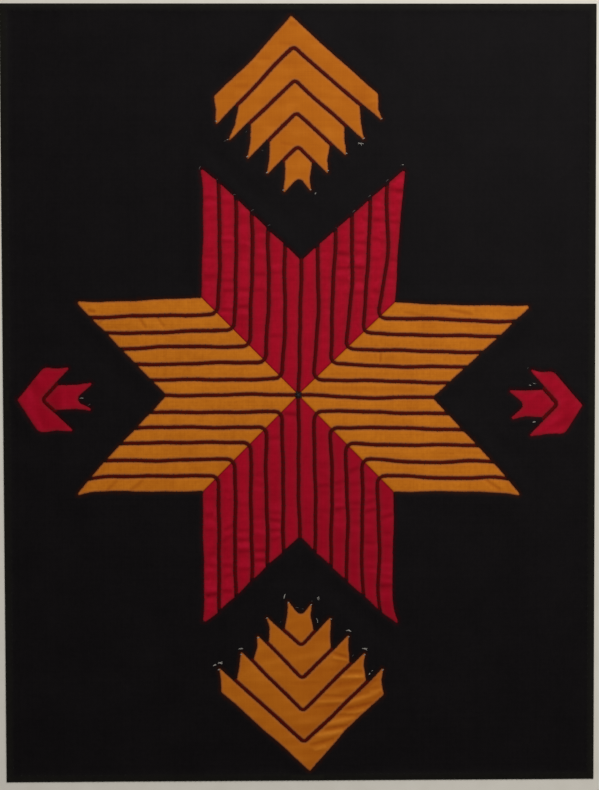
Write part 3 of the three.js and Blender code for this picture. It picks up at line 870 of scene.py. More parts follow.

# %% [markdown]
# ## Creases
#
# The creases that can be told apart are placed one by one. Each is a soft trough between two low shoulders,
# which fades out towards its ends. One with a negative depth is a ridge.

# %% Lay the creases
# Cloth by cloth: how much deeper and wider its creases are than its rows say, and the rows. Each says
# where a crease starts and ends, in x and y, how deep it is and how far it reaches to either side.
CREASES = {
    "star_patch_top": (1, 1.33, [
        (27, 98, 39, 98, 0.29, 1.5), (41, 98, 51, 98, 0.28, 1.5), (28, 109.5, 39, 109, 0.22, 1.5),
        (41, 109.5, 52, 109, 0.12, 1.6), (28, 88.5, 38, 87.5, 0.17, 1.8), (41, 89, 50, 88.5, 0.18, 1.4),
        (29, 119, 39, 118.5, 0.1, 2), (41, 117.5, 52, 117, 0.24, 1.5), (33, 78, 38, 77, 0.12, 1.5),
        (41, 79, 50, 78.5, 0.12, 1.4), (41, 124.5, 51, 124.5, 0.1, 1.4),
        (48, 135.5, 54, 134.5, 0.17, 1.6), (56, 134.5, 67, 134.5, 0.29, 1.6),
        (57, 144, 66, 142.5, 0.14, 1.4), (55, 120, 67, 118.5, 0.17, 1.5), (56, 80.5, 62, 78.5, 0.2, 1.8),
        (56, 151, 62, 149, 0.12, 1.8), (54, 105.5, 61, 104.5, 0.1, 2), (68, 158, 80, 157, 0.29, 1.6),
        (68, 133.5, 78, 133, 0.24, 1.4), (68, 104, 76, 103.5, 0.22, 1.5), (68, 95, 76, 94, 0.1, 1.4),
        (-49, 81.5, -26, 81.5, 0.22, 1.6), (-49, 68.5, -38, 68.5, 0.22, 1.5),
        (-61, 88.5, -50, 88, 0.17, 1.5), (-59, 80.5, -50, 80.5, 0.22, 1.5),
        (-61, 66.5, -51, 65.5, 0.22, 1.5), (-61, 118.5, -51, 118.5, 0.15, 1.6),
        (-61, 107.5, -51, 106.5, 0.1, 1.4), (-74, 92, -63, 91.5, 0.19, 1.4),
        (-74, 106.5, -63, 107, 0.12, 1.4), (-74, 152, -63, 151, 0.13, 1.8), (-36, 93, -26, 93, 0.22, 1.6),
        (-24, 94, -13, 94, 0.13, 1.5), (-24, 45, -13, 46, 0.17, 1.4),
    ]),
    "star_patch_bottom": (1, 1.33, [
        (-13, -14, -1, -15, 0.31, 1.5), (-26, -33, -14, -33, 0.19, 1.4),
        (-74, -155, -63, -153.5, 0.36, 1.6), (-73, -92.5, -67, -91.5, 0.16, 1.8),
        (-74, -104, -65, -103, 0.1, 1.8), (-72, -125, -66, -121, 0.1, 1.6),
        (-59, -104, -51, -100.5, 0.24, 1.6), (-61, -113.5, -52, -108, 0.2, 1.6),
        (-61, -131.5, -51, -132.5, 0.15, 1.5), (-60, -141.5, -53, -138.5, 0.18, 1.6),
        (-61, -151.5, -53, -152, 0.26, 1.4), (-48, -84, -39, -84.5, 0.11, 1.5),
        (-49, -104.5, -39, -104.5, 0.15, 1.4), (-49, -112, -39, -111.5, 0.24, 1.5),
        (-49, -121, -39, -120.5, 0.22, 1.8), (-49, -135, -38, -134.5, 0.2, 1.5),
        (-37, -95.5, -27, -94, 0.13, 1.8), (-37, -111.5, -27, -111.5, 0.13, 1.6),
        (-37, -120.5, -26, -120.5, 0.3, 1.5), (-37, -128, -26, -127.5, 0.3, 1.4),
        (-25, -90.5, -14, -91, 0.16, 1.4), (-25, -96, -14, -98, 0.26, 1.4),
        (-25, -104.5, -14, -104.5, 0.24, 1.3), (-23, -112.5, -15, -110, 0.15, 1.4),
        (12, -70.5, 23, -70, 0.19, 1.5), (12, -76.5, 23, -76, 0.09, 1.4),
        (25, -68.5, 35, -66.5, 0.22, 1.5), (25, -73, 35, -72.5, 0.11, 1.4), (26, -89, 36, -87, 0.26, 1.4),
        (37, -69.5, 47, -68, 0.13, 1.4), (37, -83.5, 47, -84, 0.14, 1.3), (37, -89, 47, -88.5, 0.16, 1.3),
        (48, -84.5, 59, -81, 0.18, 1.4), (48, -91, 59, -88.5, 0.25, 1.4),
        (49, -114.5, 58, -115.5, 0.16, 1.5), (49, -75, 59, -75.5, 0.1, 1.6),
        (61, -96, 72, -92.5, 0.24, 1.4), (64, -106.5, 71, -107, 0.13, 1.4),
        (61, -116.5, 72, -117.5, 0.11, 1.5), (61, -148.5, 72, -147.5, 0.25, 1.6),
        (36, -60, 46, -56, 0.19, 1.4),
    ]),
    "star_patch_left": (0.85, 1.5, [
        (-156, 55, -150, 60, 0.22, 1), (-124, 61, -118, 52, 0.26, 1), (-110, 61, -104, 53, 0.22, 1),
        (-150, -74, -141, -65, 0.22, 1), (-132, -74, -121, -65, 0.22, 1), (-163, 66, -157, 65, 0.35, 1),
        (-13, 13.6, -4.6, 5, -0.35, 0.6),
    ]),
    "star_patch_right": (0.85, 1.5, [
        (115, 66, 134, 62, 0.26, 1), (80, 64, 97, 61, 0.18, 1.1), (62, 25, 62.5, 34, 0.24, 0.7),
        (143, -65, 156, -74, 0.28, 1), (20, 5.5, 95, 4, 0.14, 1.4),
    ]),
    "sprig_patch_bottom": (0.62, 1, [
        (34, -239, 61, -231, -0.42, 2), (31, -244.5, 57, -239, 0.46, 1.5),
        (35, -248, 50, -244.5, -0.3, 1.4), (25, -249, 41, -248, 0.26, 1.3),
        (19, -255, 43, -250.5, -0.4, 2), (18, -260, 37, -256.5, 0.46, 1.4),
        (11, -264.5, 33, -261, -0.4, 2), (7, -272, 26, -267, 0.42, 1.5), (10, -276, 20, -273, -0.26, 1.6),
        (41, -235, 59, -220, 0.36, 1.5), (53, -230.5, 64, -229, -0.3, 1.6),
        (15, -233, 37, -234, 0.3, 1.1), (12, -238, 34, -237.5, -0.3, 1.5),
        (9, -242.5, 27, -241, 0.24, 1.2), (25, -225, 46, -223, 0.16, 2.4),
        (28, -218.5, 50, -218.5, -0.34, 1.5), (36, -214.5, 48, -214.5, 0.3, 1.3),
        (24, -199.5, 36, -203, 0.34, 1.2), (25, -203.5, 38, -206, -0.34, 1.3),
        (-8, -224, 15, -223.5, 0.14, 1.6),
    ]),
    "sprig_patch_top": (1, 1, [
        (-8, 284.5, -1, 284, 0.13, 2), (-16, 270, -5, 269, 0.1, 1.8), (-33, 258, -22, 258.5, 0.1, 1.8),
        (-50, 237, -39, 238, 0.09, 1.8), (-15, 194, -3, 192, 0.11, 1.6), (50, 221, 59, 224, 0.1, 1.6),
    ]),
}
CREASE = {"shoulder": 0.45, "shoulder_reach": 2.6}  # the cloth rises a little on both sides of one


def creases(patch, points):
    rise = np.zeros(len(points))
    deepen, widen, rows = CREASES.get(patch["name"], (1, 1, []))
    for x, y, end_x, end_y, depth, width in rows:
        deep, reach = depth * deepen, width * widen
        distance, share = from_line(points, complex(x, y), complex(end_x, end_y))
        fading = np.sqrt(np.clip(1 - (2 * share - 1) ** 6, 0, 1))
        shoulder = CREASE["shoulder"] * np.exp(-(distance / reach / CREASE["shoulder_reach"]) ** 2)
        rise += deep * fading * (shoulder - (1 + CREASE["shoulder"]) * np.exp(-(distance / reach) ** 2))
    return rise


print(sum(len(rows) for _, _, rows in CREASES.values()), "creases on", len(CREASES), "cloths")

# %% [markdown]
# ## The height of a patch
#
# A patch swells between the black lines. Along a diagonal the red cloth's edge is turned under and lies
# on the orange one, whose own edge runs on below it as a flat flap. That shows as a ditch.

# %% Work out a patch's height
PUFF = {"height": 0.36, "reach": 1.9}
HELD = 1.1  # folds fade out this close to the black line that holds the cloth down
# SEAM's dark is how far the painted shadow along the ditch of a seam reaches.
SEAM = {"ditch": 0.34, "roll": 0.55, "flap": 0.42, "flap_end": 3, "flap_gap": 0.03, "drop": 4, "dark": 1.3}
# Rows of points run along a seam from its first distance to its second in steps of the third, each row
# a little aside of it. The patch's own points keep clear of them.
SEAM_ROWS = {"along": (1, 80, 0.9), "aside": (-0.5, -0.2, 0, 0.2, 0.5, 0.9), "clear": 1.2}
AT_SEAM = {"on": 0.05, "lapped": 0.1}  # how near a point of the border counts as on a seam, or beyond it
BORDER_Z = {"plain": 0.5, "seam": LAYERS["patch"] - SEAM["ditch"] - 0.05, "lapped": 0.2}


def from_seam(points, arm):
    """Distance inside an arm's two diagonals: negative beyond them."""
    q = turned(points, -arm["turn"])
    q = q - np.where(q.real < 0, out_of_true(q, arm, -1), out_of_true(q, arm, 1))
    return (q.imag - abs(q.real)) / math.sqrt(2)


def patch_face(patch, points, seed):
    """Height of a patch's face, its distance inside the windows, and how much its folds raise it."""
    inside = np.maximum(0, -from_window(points))
    z = LAYERS["patch"] + PUFF["height"] * (1 - np.exp(-inside / PUFF["reach"]))
    folds = (puckers(patch, points, seed) + creases(patch, points)) * smooth(0, HELD, inside)
    z += folds
    if "arm" in patch:
        seam = from_seam(points, patch["arm"])
        z -= SEAM["ditch"] * np.exp(-np.maximum(seam, 0) / SEAM["roll"])
        under = SEAM["flap"] + (z - SEAM["flap"]) * np.exp(SEAM["drop"] * np.minimum(seam, 0))
        z = np.where(seam < 0, under, z)
    return z, inside, folds


def patch_back(patch, points):
    z = np.full(len(points), LAYERS["floor"])
    if patch["red"] and "arm" in patch:
        over_flap = from_seam(points, patch["arm"]) < SEAM["flap_end"]
        z = np.where(over_flap, SEAM["flap"] + SEAM["flap_gap"], z)
    return z


def patch_border(patch, ring):
    """Height of a patch's cut edge, which is higher or lower where it runs along a seam."""
    z = np.full(len(ring), BORDER_Z["plain"])
    if "arm" in patch:
        seam = from_seam(ring, patch["arm"])
        z = np.where((abs(seam) < AT_SEAM["on"]) & patch["red"], BORDER_Z["seam"], z)
        z = np.where(seam < -AT_SEAM["lapped"], BORDER_Z["lapped"], z)
    return z


def seam_rows(arm):
    """Close rows of points along both diagonals of an arm."""
    out = np.arange(*SEAM_ROWS["along"])
    rows = []
    for side in (-1, 1):
        for offset in SEAM_ROWS["aside"]:
            q = out * (side + 1j) + offset * (-side + 1j) / math.sqrt(2)
            rows.append(turned(q + out_of_true(q, arm, side), arm["turn"]))
    return np.concatenate(rows)


print("the seam is a ditch", SEAM["ditch"], "mm deep")

# %% [markdown]
# ## Cutting the patches
#
# Only what shows needs a close mesh, so the points behind the black cloth are few. As on the black
# cloth, every point gets marks for the finish: painted shade and highlight by how near it is to an edge
# and how it is folded, and how much darker its cloth is, partly as painted shade.

# %% Make the patches
GRAIN = {"face": 0.95, "hidden": 3, "margin": 1, "jitter": 0.15, "inset": 0.15, "border": 2}
BACK_GRAIN = {"spacing": 8, "jitter": 0.1, "inset": 1, "seed": 100}
FULL_MARK = {"crease_shade": 0.45, "raised": 0.35}  # the height of fold at which its mark is full
EDGE_MARKS = {"red": (3.6, 0.5), "orange": (2.2, 1.2)}  # how far a cloth's painted edge light reaches, shade on red and highlight on orange, and how far its painted fold shade
FULL_SHADE = 0.1  # as far in from the fold as the shade below it is full
# How much darker each cloth is painted, from 0 to 1, at its left side and at its right. Where it grows
# towards the right it is painted shade, as the light falls off towards the lower right.
DARKER_TONE_AND_SHADE = {"sprig_patch_left": (0.28, 0.28), "sprig_patch_right": (0.28, 0.28),
          "sprig_patch_bottom": (0.35, 0.8), "sprig_patch_top": (0.47, 0.47),
          "star_patch_bottom": (0, 0.4)}
SHADE_CHANGE = (-60, 50)  # the places between which the left side's darkening passes into the right side's


def make_patch(patch, seed):
    ring = densified(patch["ring"], GRAIN["border"])
    low = complex(ring.real.min(), ring.imag.min())
    high = complex(ring.real.max(), ring.imag.max())
    shown = grid(low, high, GRAIN["face"], GRAIN["jitter"], seed)
    hidden = grid(low, high, GRAIN["hidden"], GRAIN["jitter"], seed)
    upper = np.concatenate([shown[from_window(shown) < GRAIN["margin"]],
                            hidden[from_window(hidden) >= GRAIN["margin"]]])
    if "arm" in patch:
        upper = upper[abs(from_seam(upper, patch["arm"])) > SEAM_ROWS["clear"]]
        upper = np.concatenate([upper, seam_rows(patch["arm"])])
    upper = upper[from_ring(patch["ring"], upper) < -GRAIN["inset"]]
    under = grid(low, high, BACK_GRAIN["spacing"], BACK_GRAIN["jitter"], seed + BACK_GRAIN["seed"])
    under = under[from_ring(patch["ring"], under) < -BACK_GRAIN["inset"]]
    upper_z, inside, folds = patch_face(patch, upper, seed)
    piece = thin_solid(patch["name"].replace("patch", "cloth"), [ring], upper, under, upper_z,
                       patch_back(patch, under), patch_border(patch, ring))
    edge_light_reach, shaded_to = EDGE_MARKS["red" if patch["red"] else "orange"]
    seam = from_seam(upper, patch["arm"]) if "arm" in patch else FAR
    left, right = DARKER_TONE_AND_SHADE.get(patch["name"], (0, 0))
    marks = {
        # painted light beside a black line: shade on the red cloth, a paler highlight on the orange
        "edge_shade_and_highlight": 1 - smooth(0, edge_light_reach, inside),
        # painted shade, deepest right under the black fold
        "fold_shadow": 1 - smooth(FULL_SHADE, shaded_to, inside),
        # painted shade in the troughs of creases and puckers, painted highlight on their ridges
        "crease_shade": np.clip(-folds / FULL_MARK["crease_shade"], 0, 1),
        "raised": np.clip(folds / FULL_MARK["raised"], 0, 1),
        # darker all over on some cloths, and on the lower ones a painted shade that grows to the right
        "darker_tone_and_shade": left + (right - left) * smooth(*SHADE_CHANGE, upper.real),
        # painted shadow along the ditch of a seam
        "seam": 1 - smooth(0, SEAM["dark"], abs(seam)) + np.zeros(len(upper)),
    }
    none_at_edge, none_behind = np.zeros(len(ring)), np.zeros(len(under))
    set_attributes(piece, **{name: np.concatenate([none_at_edge, values, none_behind])
                             for name, values in marks.items()})
    return piece


for seed, patch in enumerate(PATCHES):
    patch["piece"] = make_patch(patch, seed)
    print(patch["name"], len(patch["piece"].data.polygons), "triangles")

# %% [markdown]
# ## Hand stitches with Geometry Nodes
#
# There are thousands of stitches, and they all follow a line: round the windows, along the hem, and at a
# few places a loose end. One node tree makes them all. It turns a curve into evenly spaced points, sets
# one bent bit of thread on each, turned along the curve, and shakes them a little with a fixed seed. A
# stitch is described in its own frame: x runs along the line and y to its left, into a window.

# %% Build the stitch tree
def add_node(tree, kind, inputs=None, **settings):
    """A node with its settings, and its inputs linked or filled in by name or number."""
    node = tree.nodes.new(kind)
    for name, value in settings.items():
        setattr(node, name, value)
    for name, value in (inputs or {}).items():
        if isinstance(value, bpy.types.NodeSocket):
            tree.links.new(value, node.inputs[name])
        else:
            node.inputs[name].default_value = value
    return node


def calc(tree, operation, *values):
    return add_node(tree, "ShaderNodeMath", dict(enumerate(values)), operation=operation).outputs[0]


def new_tree(name, kind, inputs, outputs):
    """A node group with these sockets. Gives the group, what goes in and where its results go."""
    tree = bpy.data.node_groups.new(name, kind)
    for way, sockets in (("INPUT", inputs), ("OUTPUT", outputs)):
        for socket, socket_type in sockets.items():
            tree.interface.new_socket(socket, in_out=way, socket_type="NodeSocket" + socket_type)
    return tree, tree.nodes.new("NodeGroupInput").outputs, tree.nodes.new("NodeGroupOutput").inputs


def stitch_tree():
    tree, given, result = new_tree(
        "Hand stitches", "GeometryNodeTree",
        {"Geometry": "Geometry", "Start": "Vector", "Crest": "Vector", "End": "Vector",
         "Spacing": "Float", "Thickness": "Float", "Sway": "Float", "Uneven": "Float",
         "Seed": "Int", "Thread": "Material"},
        {"Geometry": "Geometry"})

    def random_between(low, high):
        """A random number for each stitch. Inputs 2 and 3 are the limits of a plain number."""
        return add_node(tree, "FunctionNodeRandomValue", {2: low, 3: high, "Seed": given["Seed"]},
                        data_type="FLOAT").outputs[1]

    line = add_node(tree, "GeometryNodeCurveQuadraticBezier",
                    {"Resolution": 4, "Start": given["Start"], "Middle": given["Crest"],
                     "End": given["End"]})
    radius = calc(tree, "MULTIPLY", given["Thickness"], 0.5)
    section = add_node(tree, "GeometryNodeCurvePrimitiveCircle", {"Resolution": 5, "Radius": radius})
    thread = add_node(tree, "GeometryNodeCurveToMesh",
                      {"Curve": line.outputs[0], "Profile Curve": section.outputs[0], "Fill Caps": True})
    places = add_node(tree, "GeometryNodeCurveToPoints",
                      {"Curve": given["Geometry"], "Length": given["Spacing"]}, mode="LENGTH")
    along = add_node(tree, "FunctionNodeAlignRotationToVector", {"Vector": places.outputs["Tangent"]},
                     axis="X")
    size = random_between(calc(tree, "SUBTRACT", 1.0, given["Uneven"]),
                          calc(tree, "ADD", 1.0, given["Uneven"]))
    placed = add_node(tree, "GeometryNodeInstanceOnPoints",
                      {"Points": places.outputs["Points"], "Instance": thread.outputs[0],
                       "Rotation": along.outputs[0], "Scale": size})
    sway = random_between(calc(tree, "MULTIPLY", given["Sway"], -1.0), given["Sway"])
    spin = add_node(tree, "ShaderNodeCombineXYZ", {"Z": sway})
    swayed = add_node(tree, "GeometryNodeRotateInstances",
                      {"Instances": placed.outputs[0], "Rotation": spin.outputs[0]})
    solid = add_node(tree, "GeometryNodeRealizeInstances", {"Geometry": swayed.outputs[0]})
    coloured = add_node(tree, "GeometryNodeSetMaterial",
                        {"Geometry": solid.outputs[0], "Material": given["Thread"]})
    tree.links.new(coloured.outputs[0], result["Geometry"])
    return tree


STITCHES = stitch_tree()
print("stitch tree:", len(STITCHES.nodes), "nodes")

# %% [markdown]
# ## Colours and thread
#
# A colour is written as a painter's three numbers from 0 to 255, and made linear for the shader. Thread
# is the simplest finish here: two tones in fine slanting bands, which is how twisted cotton looks close
# to. The cloths come later and use the same few helpers.

# %% Mix colours and thread
def new_material(name):
    material = bpy.data.materials.new(name)
    material.use_nodes = True
    material.node_tree.nodes.clear()
    return material, material.node_tree


def shaded(tree, **inputs):
    """Puts a principled shader with these inputs on a material's surface."""
    named = {name.replace("_", " "): value for name, value in inputs.items()}
    shader = add_node(tree, "ShaderNodeBsdfPrincipled", named)
    output = add_node(tree, "ShaderNodeOutputMaterial")
    tree.links.new(shader.outputs[0], output.inputs["Surface"])


def srgb(red, green, blue):
    """A colour as it is written in a paint program, made linear for the shader."""
    parts = [value / 255 for value in (red, green, blue)]
    linear = [v / 12.92 if v < 0.04045 else ((v + 0.055) / 1.055) ** 2.4 for v in parts]
    return (*linear, 1)


def blended(tree, share, low, high):
    """A colour between two, by a share from 0 to 1."""
    mix = add_node(tree, "ShaderNodeMix", {0: share, 6: low, 7: high}, data_type="RGBA")
    return mix.outputs[2]


def thread_finish(name, dark, light):
    """Twisted thread: fine slanting bands across its length."""
    material, tree = new_material(name)
    place = add_node(tree, "ShaderNodeTexCoord").outputs["Object"]
    twist = add_node(tree, "ShaderNodeTexWave", {"Vector": place, "Scale": 900, "Distortion": 2},
                     bands_direction="DIAGONAL").outputs["Fac"]
    bump = add_node(tree, "ShaderNodeBump", {"Strength": 0.4, "Distance": 0.05 * MM, "Height": twist})
    shaded(tree, Base_Color=blended(tree, twist, dark, light), Roughness=0.75, Normal=bump.outputs[0])
    return material


black_thread = thread_finish("black_thread", srgb(10, 9, 10), srgb(26, 24, 25))
pale_thread = thread_finish("pale_thread", srgb(104, 100, 94), srgb(172, 168, 160))
faint_thread = thread_finish("faint_thread", srgb(58, 56, 54), srgb(94, 91, 89))
print("threads:", [material.name for material in (black_thread, pale_thread, faint_thread)])

# %% [markdown]
# ## Where the stitches run
#
# The windows' edges are held by tiny blind stitches: each comes out of the fold, crosses the edge at a
# slant and goes down into the coloured cloth. Small running stitches hold the hem. In the middle of the
# star all the folds meet, and a few stitches over each other hold them, which makes a dark knot.
#
# The tree needs a curve to run along, so each set of stitches starts as a curve object, and ends as one
# plain mesh. The curve and its modifier are gone after that.

# %% Sew
# Each kind of stitch: its height above the floor, its start, crest and end, how far apart the stitches lie
# and how thick the thread is, in millimetres, then how much they sway and differ, and a seed.
STITCH_KINDS = {
    "blind_stitches": (LAYERS["nose"], (-0.35, -0.4, 0.22), (0, 0, 0.62), (0.3, 0.45, -0.12),
        4.2, 0.24, 0.4, 0.25, 3),
    "hem_stitches": (LAYERS["hem"] - 0.22, (-0.5, 0, -0.15), (0, 0.1, 0.35), (0.5, 0, -0.15),
        6.2, 0.22, 0.3, 0.2, 5),
    "centre_knot": (LAYERS["rib"] + 0.1, (-0.4, -2.4, -0.5), (0, 0, 1.1), (0.3, 2.2, -0.5),
        0.8, 0.4, 0.5, 0.2, 8),
    "long_thread_ends": (LAYERS["backed"] + 0.1, (-1.7, -0.2, -0.2), (0, 0.6, 0.9), (1.8, 0, 0),
        20, 0.42, 0.2, 0.2, 13),
    "short_thread_ends": (LAYERS["backed"] + 0.1, (-0.8, 0, -0.2), (0, 0.3, 0.7), (0.9, 0, -0.1),
        20, 0.36, 0.3, 0.3, 14),
    "faint_thread_ends": (LAYERS["backed"] + 0.08, (-0.9, 0, -0.2), (0, 0.3, 0.7), (0.9, 0.1, -0.1),
        20, 0.3, 0.9, 0.4, 15),
    "tip_stitches": (LAYERS["nose"] + 0.25, (-0.7, 0, -0.25), (0, 0.2, 0.5), (0.7, 0.1, -0.25),
        20, 0.36, 0.8, 0.3, 16),
}
KNOT = {"radius": 0.9, "corners": 6}


def line_object(name, lines, height, closed):
    """A curve object of straight stretches through flat points, at one height."""
    curve = bpy.data.curves.new(name, "CURVE")
    curve.dimensions = "3D"
    for line in lines:
        spline = curve.splines.new("POLY")
        spline.points.add(len(line) - 1)
        places = np.stack([line.real, line.imag, np.full(len(line), height)], axis=1) * MM
        spline.points.foreach_set("co", np.hstack([places, np.ones((len(line), 1))]).ravel())
        spline.use_cyclic_u = closed
    return linked(name, curve)


def sewn(name, lines, thread, closed=True):
    """One mesh of all the stitches of this kind along these lines."""
    height, *ends, spacing, thickness, sway, uneven, seed = STITCH_KINDS[name]
    holder = line_object(name + "_line", lines, height, closed)
    modifier = holder.modifiers.new("stitches", "NODES")
    modifier.node_group = STITCHES
    start, crest, end = [tuple(value * MM for value in place) for place in ends]
    inputs = {"Start": start, "Crest": crest, "End": end, "Spacing": spacing * MM,
              "Thickness": thickness * MM, "Sway": sway, "Uneven": uneven, "Seed": seed, "Thread": thread}
    for item in STITCHES.interface.items_tree:
        if item.in_out == "INPUT" and item.name in inputs:
            modifier[item.identifier] = inputs[item.name]
    evaluated = holder.evaluated_get(bpy.context.evaluated_depsgraph_get())
    mesh = bpy.data.meshes.new_from_object(evaluated)
    bpy.data.objects.remove(holder)
    mesh.shade_smooth()
    print(name, len(mesh.polygons), "faces")
    return linked(name, mesh)


hem_line = rectangle_line(HEM["width"] - HEM["seam"], 40)
knot_ring = CENTRE + KNOT["radius"] * np.exp(2j * np.pi * np.arange(KNOT["corners"]) / KNOT["corners"])
BLACK_THREADS = [
    sewn("blind_stitches", WINDOWS, black_thread),
    sewn("hem_stitches", [hem_line], black_thread),
    sewn("centre_knot", [knot_ring], black_thread),
]

# %% [markdown]
# ## Ends of pale thread
#
# A pale basting thread once held the cloths together. It was cut off short, so tiny pale ends stand out
# of the black beside the tips of the sprigs, mostly of the lower one, and along the end of the upper
# arm. Pale stitches also hold down the tips of the two long sprigs. Each is one stitch of the same tree,
# at the start of a line shorter than the spacing. The single ends are a table of places, and the others
# are worked out from the corners of the pattern.

# %% Leave the thread ends
# Where each loose end lies, which way it points in degrees, and how many threads it has.
LOOSE_ENDS = {
    "long": [
        (-12.5 - 156j, 74, 2), (12.6 - 174.8j, -72, 1), (37.5 - 182.4j, -20, 3), (-46.5 - 196j, 12, 3),
        (49.8 - 197j, -12, 2), (-62.3 - 207.3j, -8, 4), (46.6 + 193.3j, -38, 2),
    ],
    "short": [
        (14 - 157.4j, 100, 2), (-66.6 - 209j, 8, 4), (53.2 - 216.6j, 60, 2), (55.6 - 214.2j, 30, 1),
        (12 + 155.2j, 60, 2), (79.5 + 176.4j, 0, 1), (177.6 + 7.4j, 10, 2), (180.6 + 9j, 0, 2),
        (181 - 21j, 15, 3), (-168 - 2j, 0, 2),
    ],
    "faint": [
        (9.3 - 159.4j, 20, 1), (-2.6 - 164.6j, -30, 1), (1.6 - 165.2j, 35, 1), (-15 - 175.2j, 80, 1),
        (41 - 202.4j, 45, 1), (-28.6 + 187.6j, 0, 1), (-40 + 202j, 80, 1), (-56.6 + 194.6j, 20, 1),
        (-76.6 + 174.6j, 0, 1), (176 + 20j, 80, 1), (-162 - 6.5j, 30, 1),
    ],
}
LINE_ENDS = {"beyond": 2.2, "from": 2}  # beside the upper arm's end, from its second line on
TIP_STITCH = 0.6 + 2.6j  # from a tip, towards the sprig's middle and up into the cloth
SPREAD = {"way": 12, "loose_end": 0.5, "tip": 0.3, "line_end": 1.1}  # in degrees, then in millimetres


def strands(places, ways, each, spread, seed):
    """A few tiny lines at each place, pointing nearly the same way, for one thread end apiece."""
    random = np.random.default_rng(seed)
    starts = np.repeat(np.array(places), each)
    starts = starts + random.uniform(-spread, spread, len(starts))
    starts = starts + 1j * random.uniform(-spread, spread, len(starts))
    ways = np.repeat(np.broadcast_to(ways, len(places)), each)
    ways = ways + random.normal(0, SPREAD["way"], len(starts))
    return [np.array([start, start + way]) for start, way in zip(starts, turned(1, ways))]


def loose_ends(kind):
    places, ways, each = zip(*LOOSE_ENDS[kind])
    return strands(places, ways, each, SPREAD["loose_end"], seed=len(places))


def sprig_tips():
    """The tips of the two long sprigs, where a pale stitch holds each one down."""
    places = []
    for sprig in SPRIGS:
        if sprig["size"] is LARGE:
            for k in range(LARGE["chevrons"]):
                _, _, (_, left), (_, right) = chevron(sprig, k)
                places += [on_sprig(sprig, left + TIP_STITCH),
                           on_sprig(sprig, right - TIP_STITCH.conjugate())]
    return places


def line_ends(arm):
    """Where the black lines run out at the end of an arm."""
    lines = [side * n * PITCH for side in (-1, 1) for n in range(LINE_ENDS["from"], STAR["stripes"])]
    ends = np.array([x + 1j * (arm_end(abs(x)) + LINE_ENDS["beyond"]) for x in lines])
    return list(uneven(turned(ends, arm["turn"])))


tips = strands(sprig_tips(), 0, 2, SPREAD["tip"], seed=5)
faint = loose_ends("faint") + strands(line_ends(ARMS[0]), 0, 1, SPREAD["line_end"], seed=23)
PALE_THREADS = [
    sewn("long_thread_ends", loose_ends("long"), pale_thread, closed=False),
    sewn("short_thread_ends", loose_ends("short"), pale_thread, closed=False),
    sewn("tip_stitches", tips, pale_thread, closed=False),
    sewn("faint_thread_ends", faint, faint_thread, closed=False),
]

# %% [markdown]
# ## Plain weave
#
# All three cloths are the same plain cotton: each thread goes over one and under the next. Where warp
# thread number i crosses weft thread number j, the warp is on top when i + j is even. That is a wave
# along each thread, shifted by half a turn from one thread to the next, and the higher of the two
# threads shows.
#
# Handspun thread isn't even, so each one also has its own shade and thick places. The group gives this
# as plain values, and each material decides what to do with them.

# %% Build the weave group
def build_plain_weave():
    group, given, result = new_tree("Plain weave", "ShaderNodeTree",
                                    {"Place": "Vector", "Threads per metre": "Float"},
                                    {"Height": "Float", "Shade": "Float", "Slub": "Float"})

    def roundness(t):
        return calc(group, "SINE", calc(group, "MULTIPLY", calc(group, "FRACT", t), math.pi))

    def over_under(along, number):
        """From 0 to 1 along a thread: up where it runs over, shifted by one crossing each thread."""
        turns = calc(group, "ADD", calc(group, "SUBTRACT", along, 0.5), number)
        turns = calc(group, "MULTIPLY", turns, math.pi)
        return calc(group, "MULTIPLY_ADD", calc(group, "COSINE", turns), 0.5, 0.5)

    def own_shade(number, kind):
        spot = add_node(group, "ShaderNodeCombineXYZ", {"X": number, "Y": kind})
        return add_node(group, "ShaderNodeTexWhiteNoise", {"Vector": spot.outputs[0]},
                        noise_dimensions="2D").outputs["Value"]

    def thick_places(x_scale, y_scale):
        stretched = add_node(group, "ShaderNodeMapping",
                             {"Vector": place, "Scale": (x_scale, y_scale, 1)}).outputs[0]
        return add_node(group, "ShaderNodeTexNoise", {"Vector": stretched, "Scale": 1, "Detail": 1},
                        noise_dimensions="2D").outputs[0]

    def whichever_shows(of_weft, of_warp):
        return add_node(group, "ShaderNodeMix", {0: warp_shows, 2: of_weft, 3: of_warp}).outputs[0]

    place = add_node(group, "ShaderNodeVectorMath",
                     {0: given["Place"], "Scale": given["Threads per metre"]}, operation="SCALE").outputs[0]
    x, y, _ = add_node(group, "ShaderNodeSeparateXYZ", {0: place}).outputs
    warp, weft = calc(group, "FLOOR", x), calc(group, "FLOOR", y)
    warp_height = calc(group, "MULTIPLY", roundness(x), over_under(y, warp))
    weft_under = calc(group, "SUBTRACT", 1.0, over_under(x, weft))
    weft_height = calc(group, "MULTIPLY", roundness(y), weft_under)
    warp_shows = calc(group, "GREATER_THAN", warp_height, weft_height)
    results = {"Height": calc(group, "MAXIMUM", warp_height, weft_height),
               "Shade": whichever_shows(own_shade(weft, 7.0), own_shade(warp, 31.0)),
               "Slub": whichever_shows(thick_places(0.03, 0.9), thick_places(0.9, 0.03))}
    for name, value in results.items():
        group.links.new(value, result[name])
    return group


PLAIN_WEAVE = build_plain_weave()
print("plain weave:", len(PLAIN_WEAVE.nodes), "nodes")

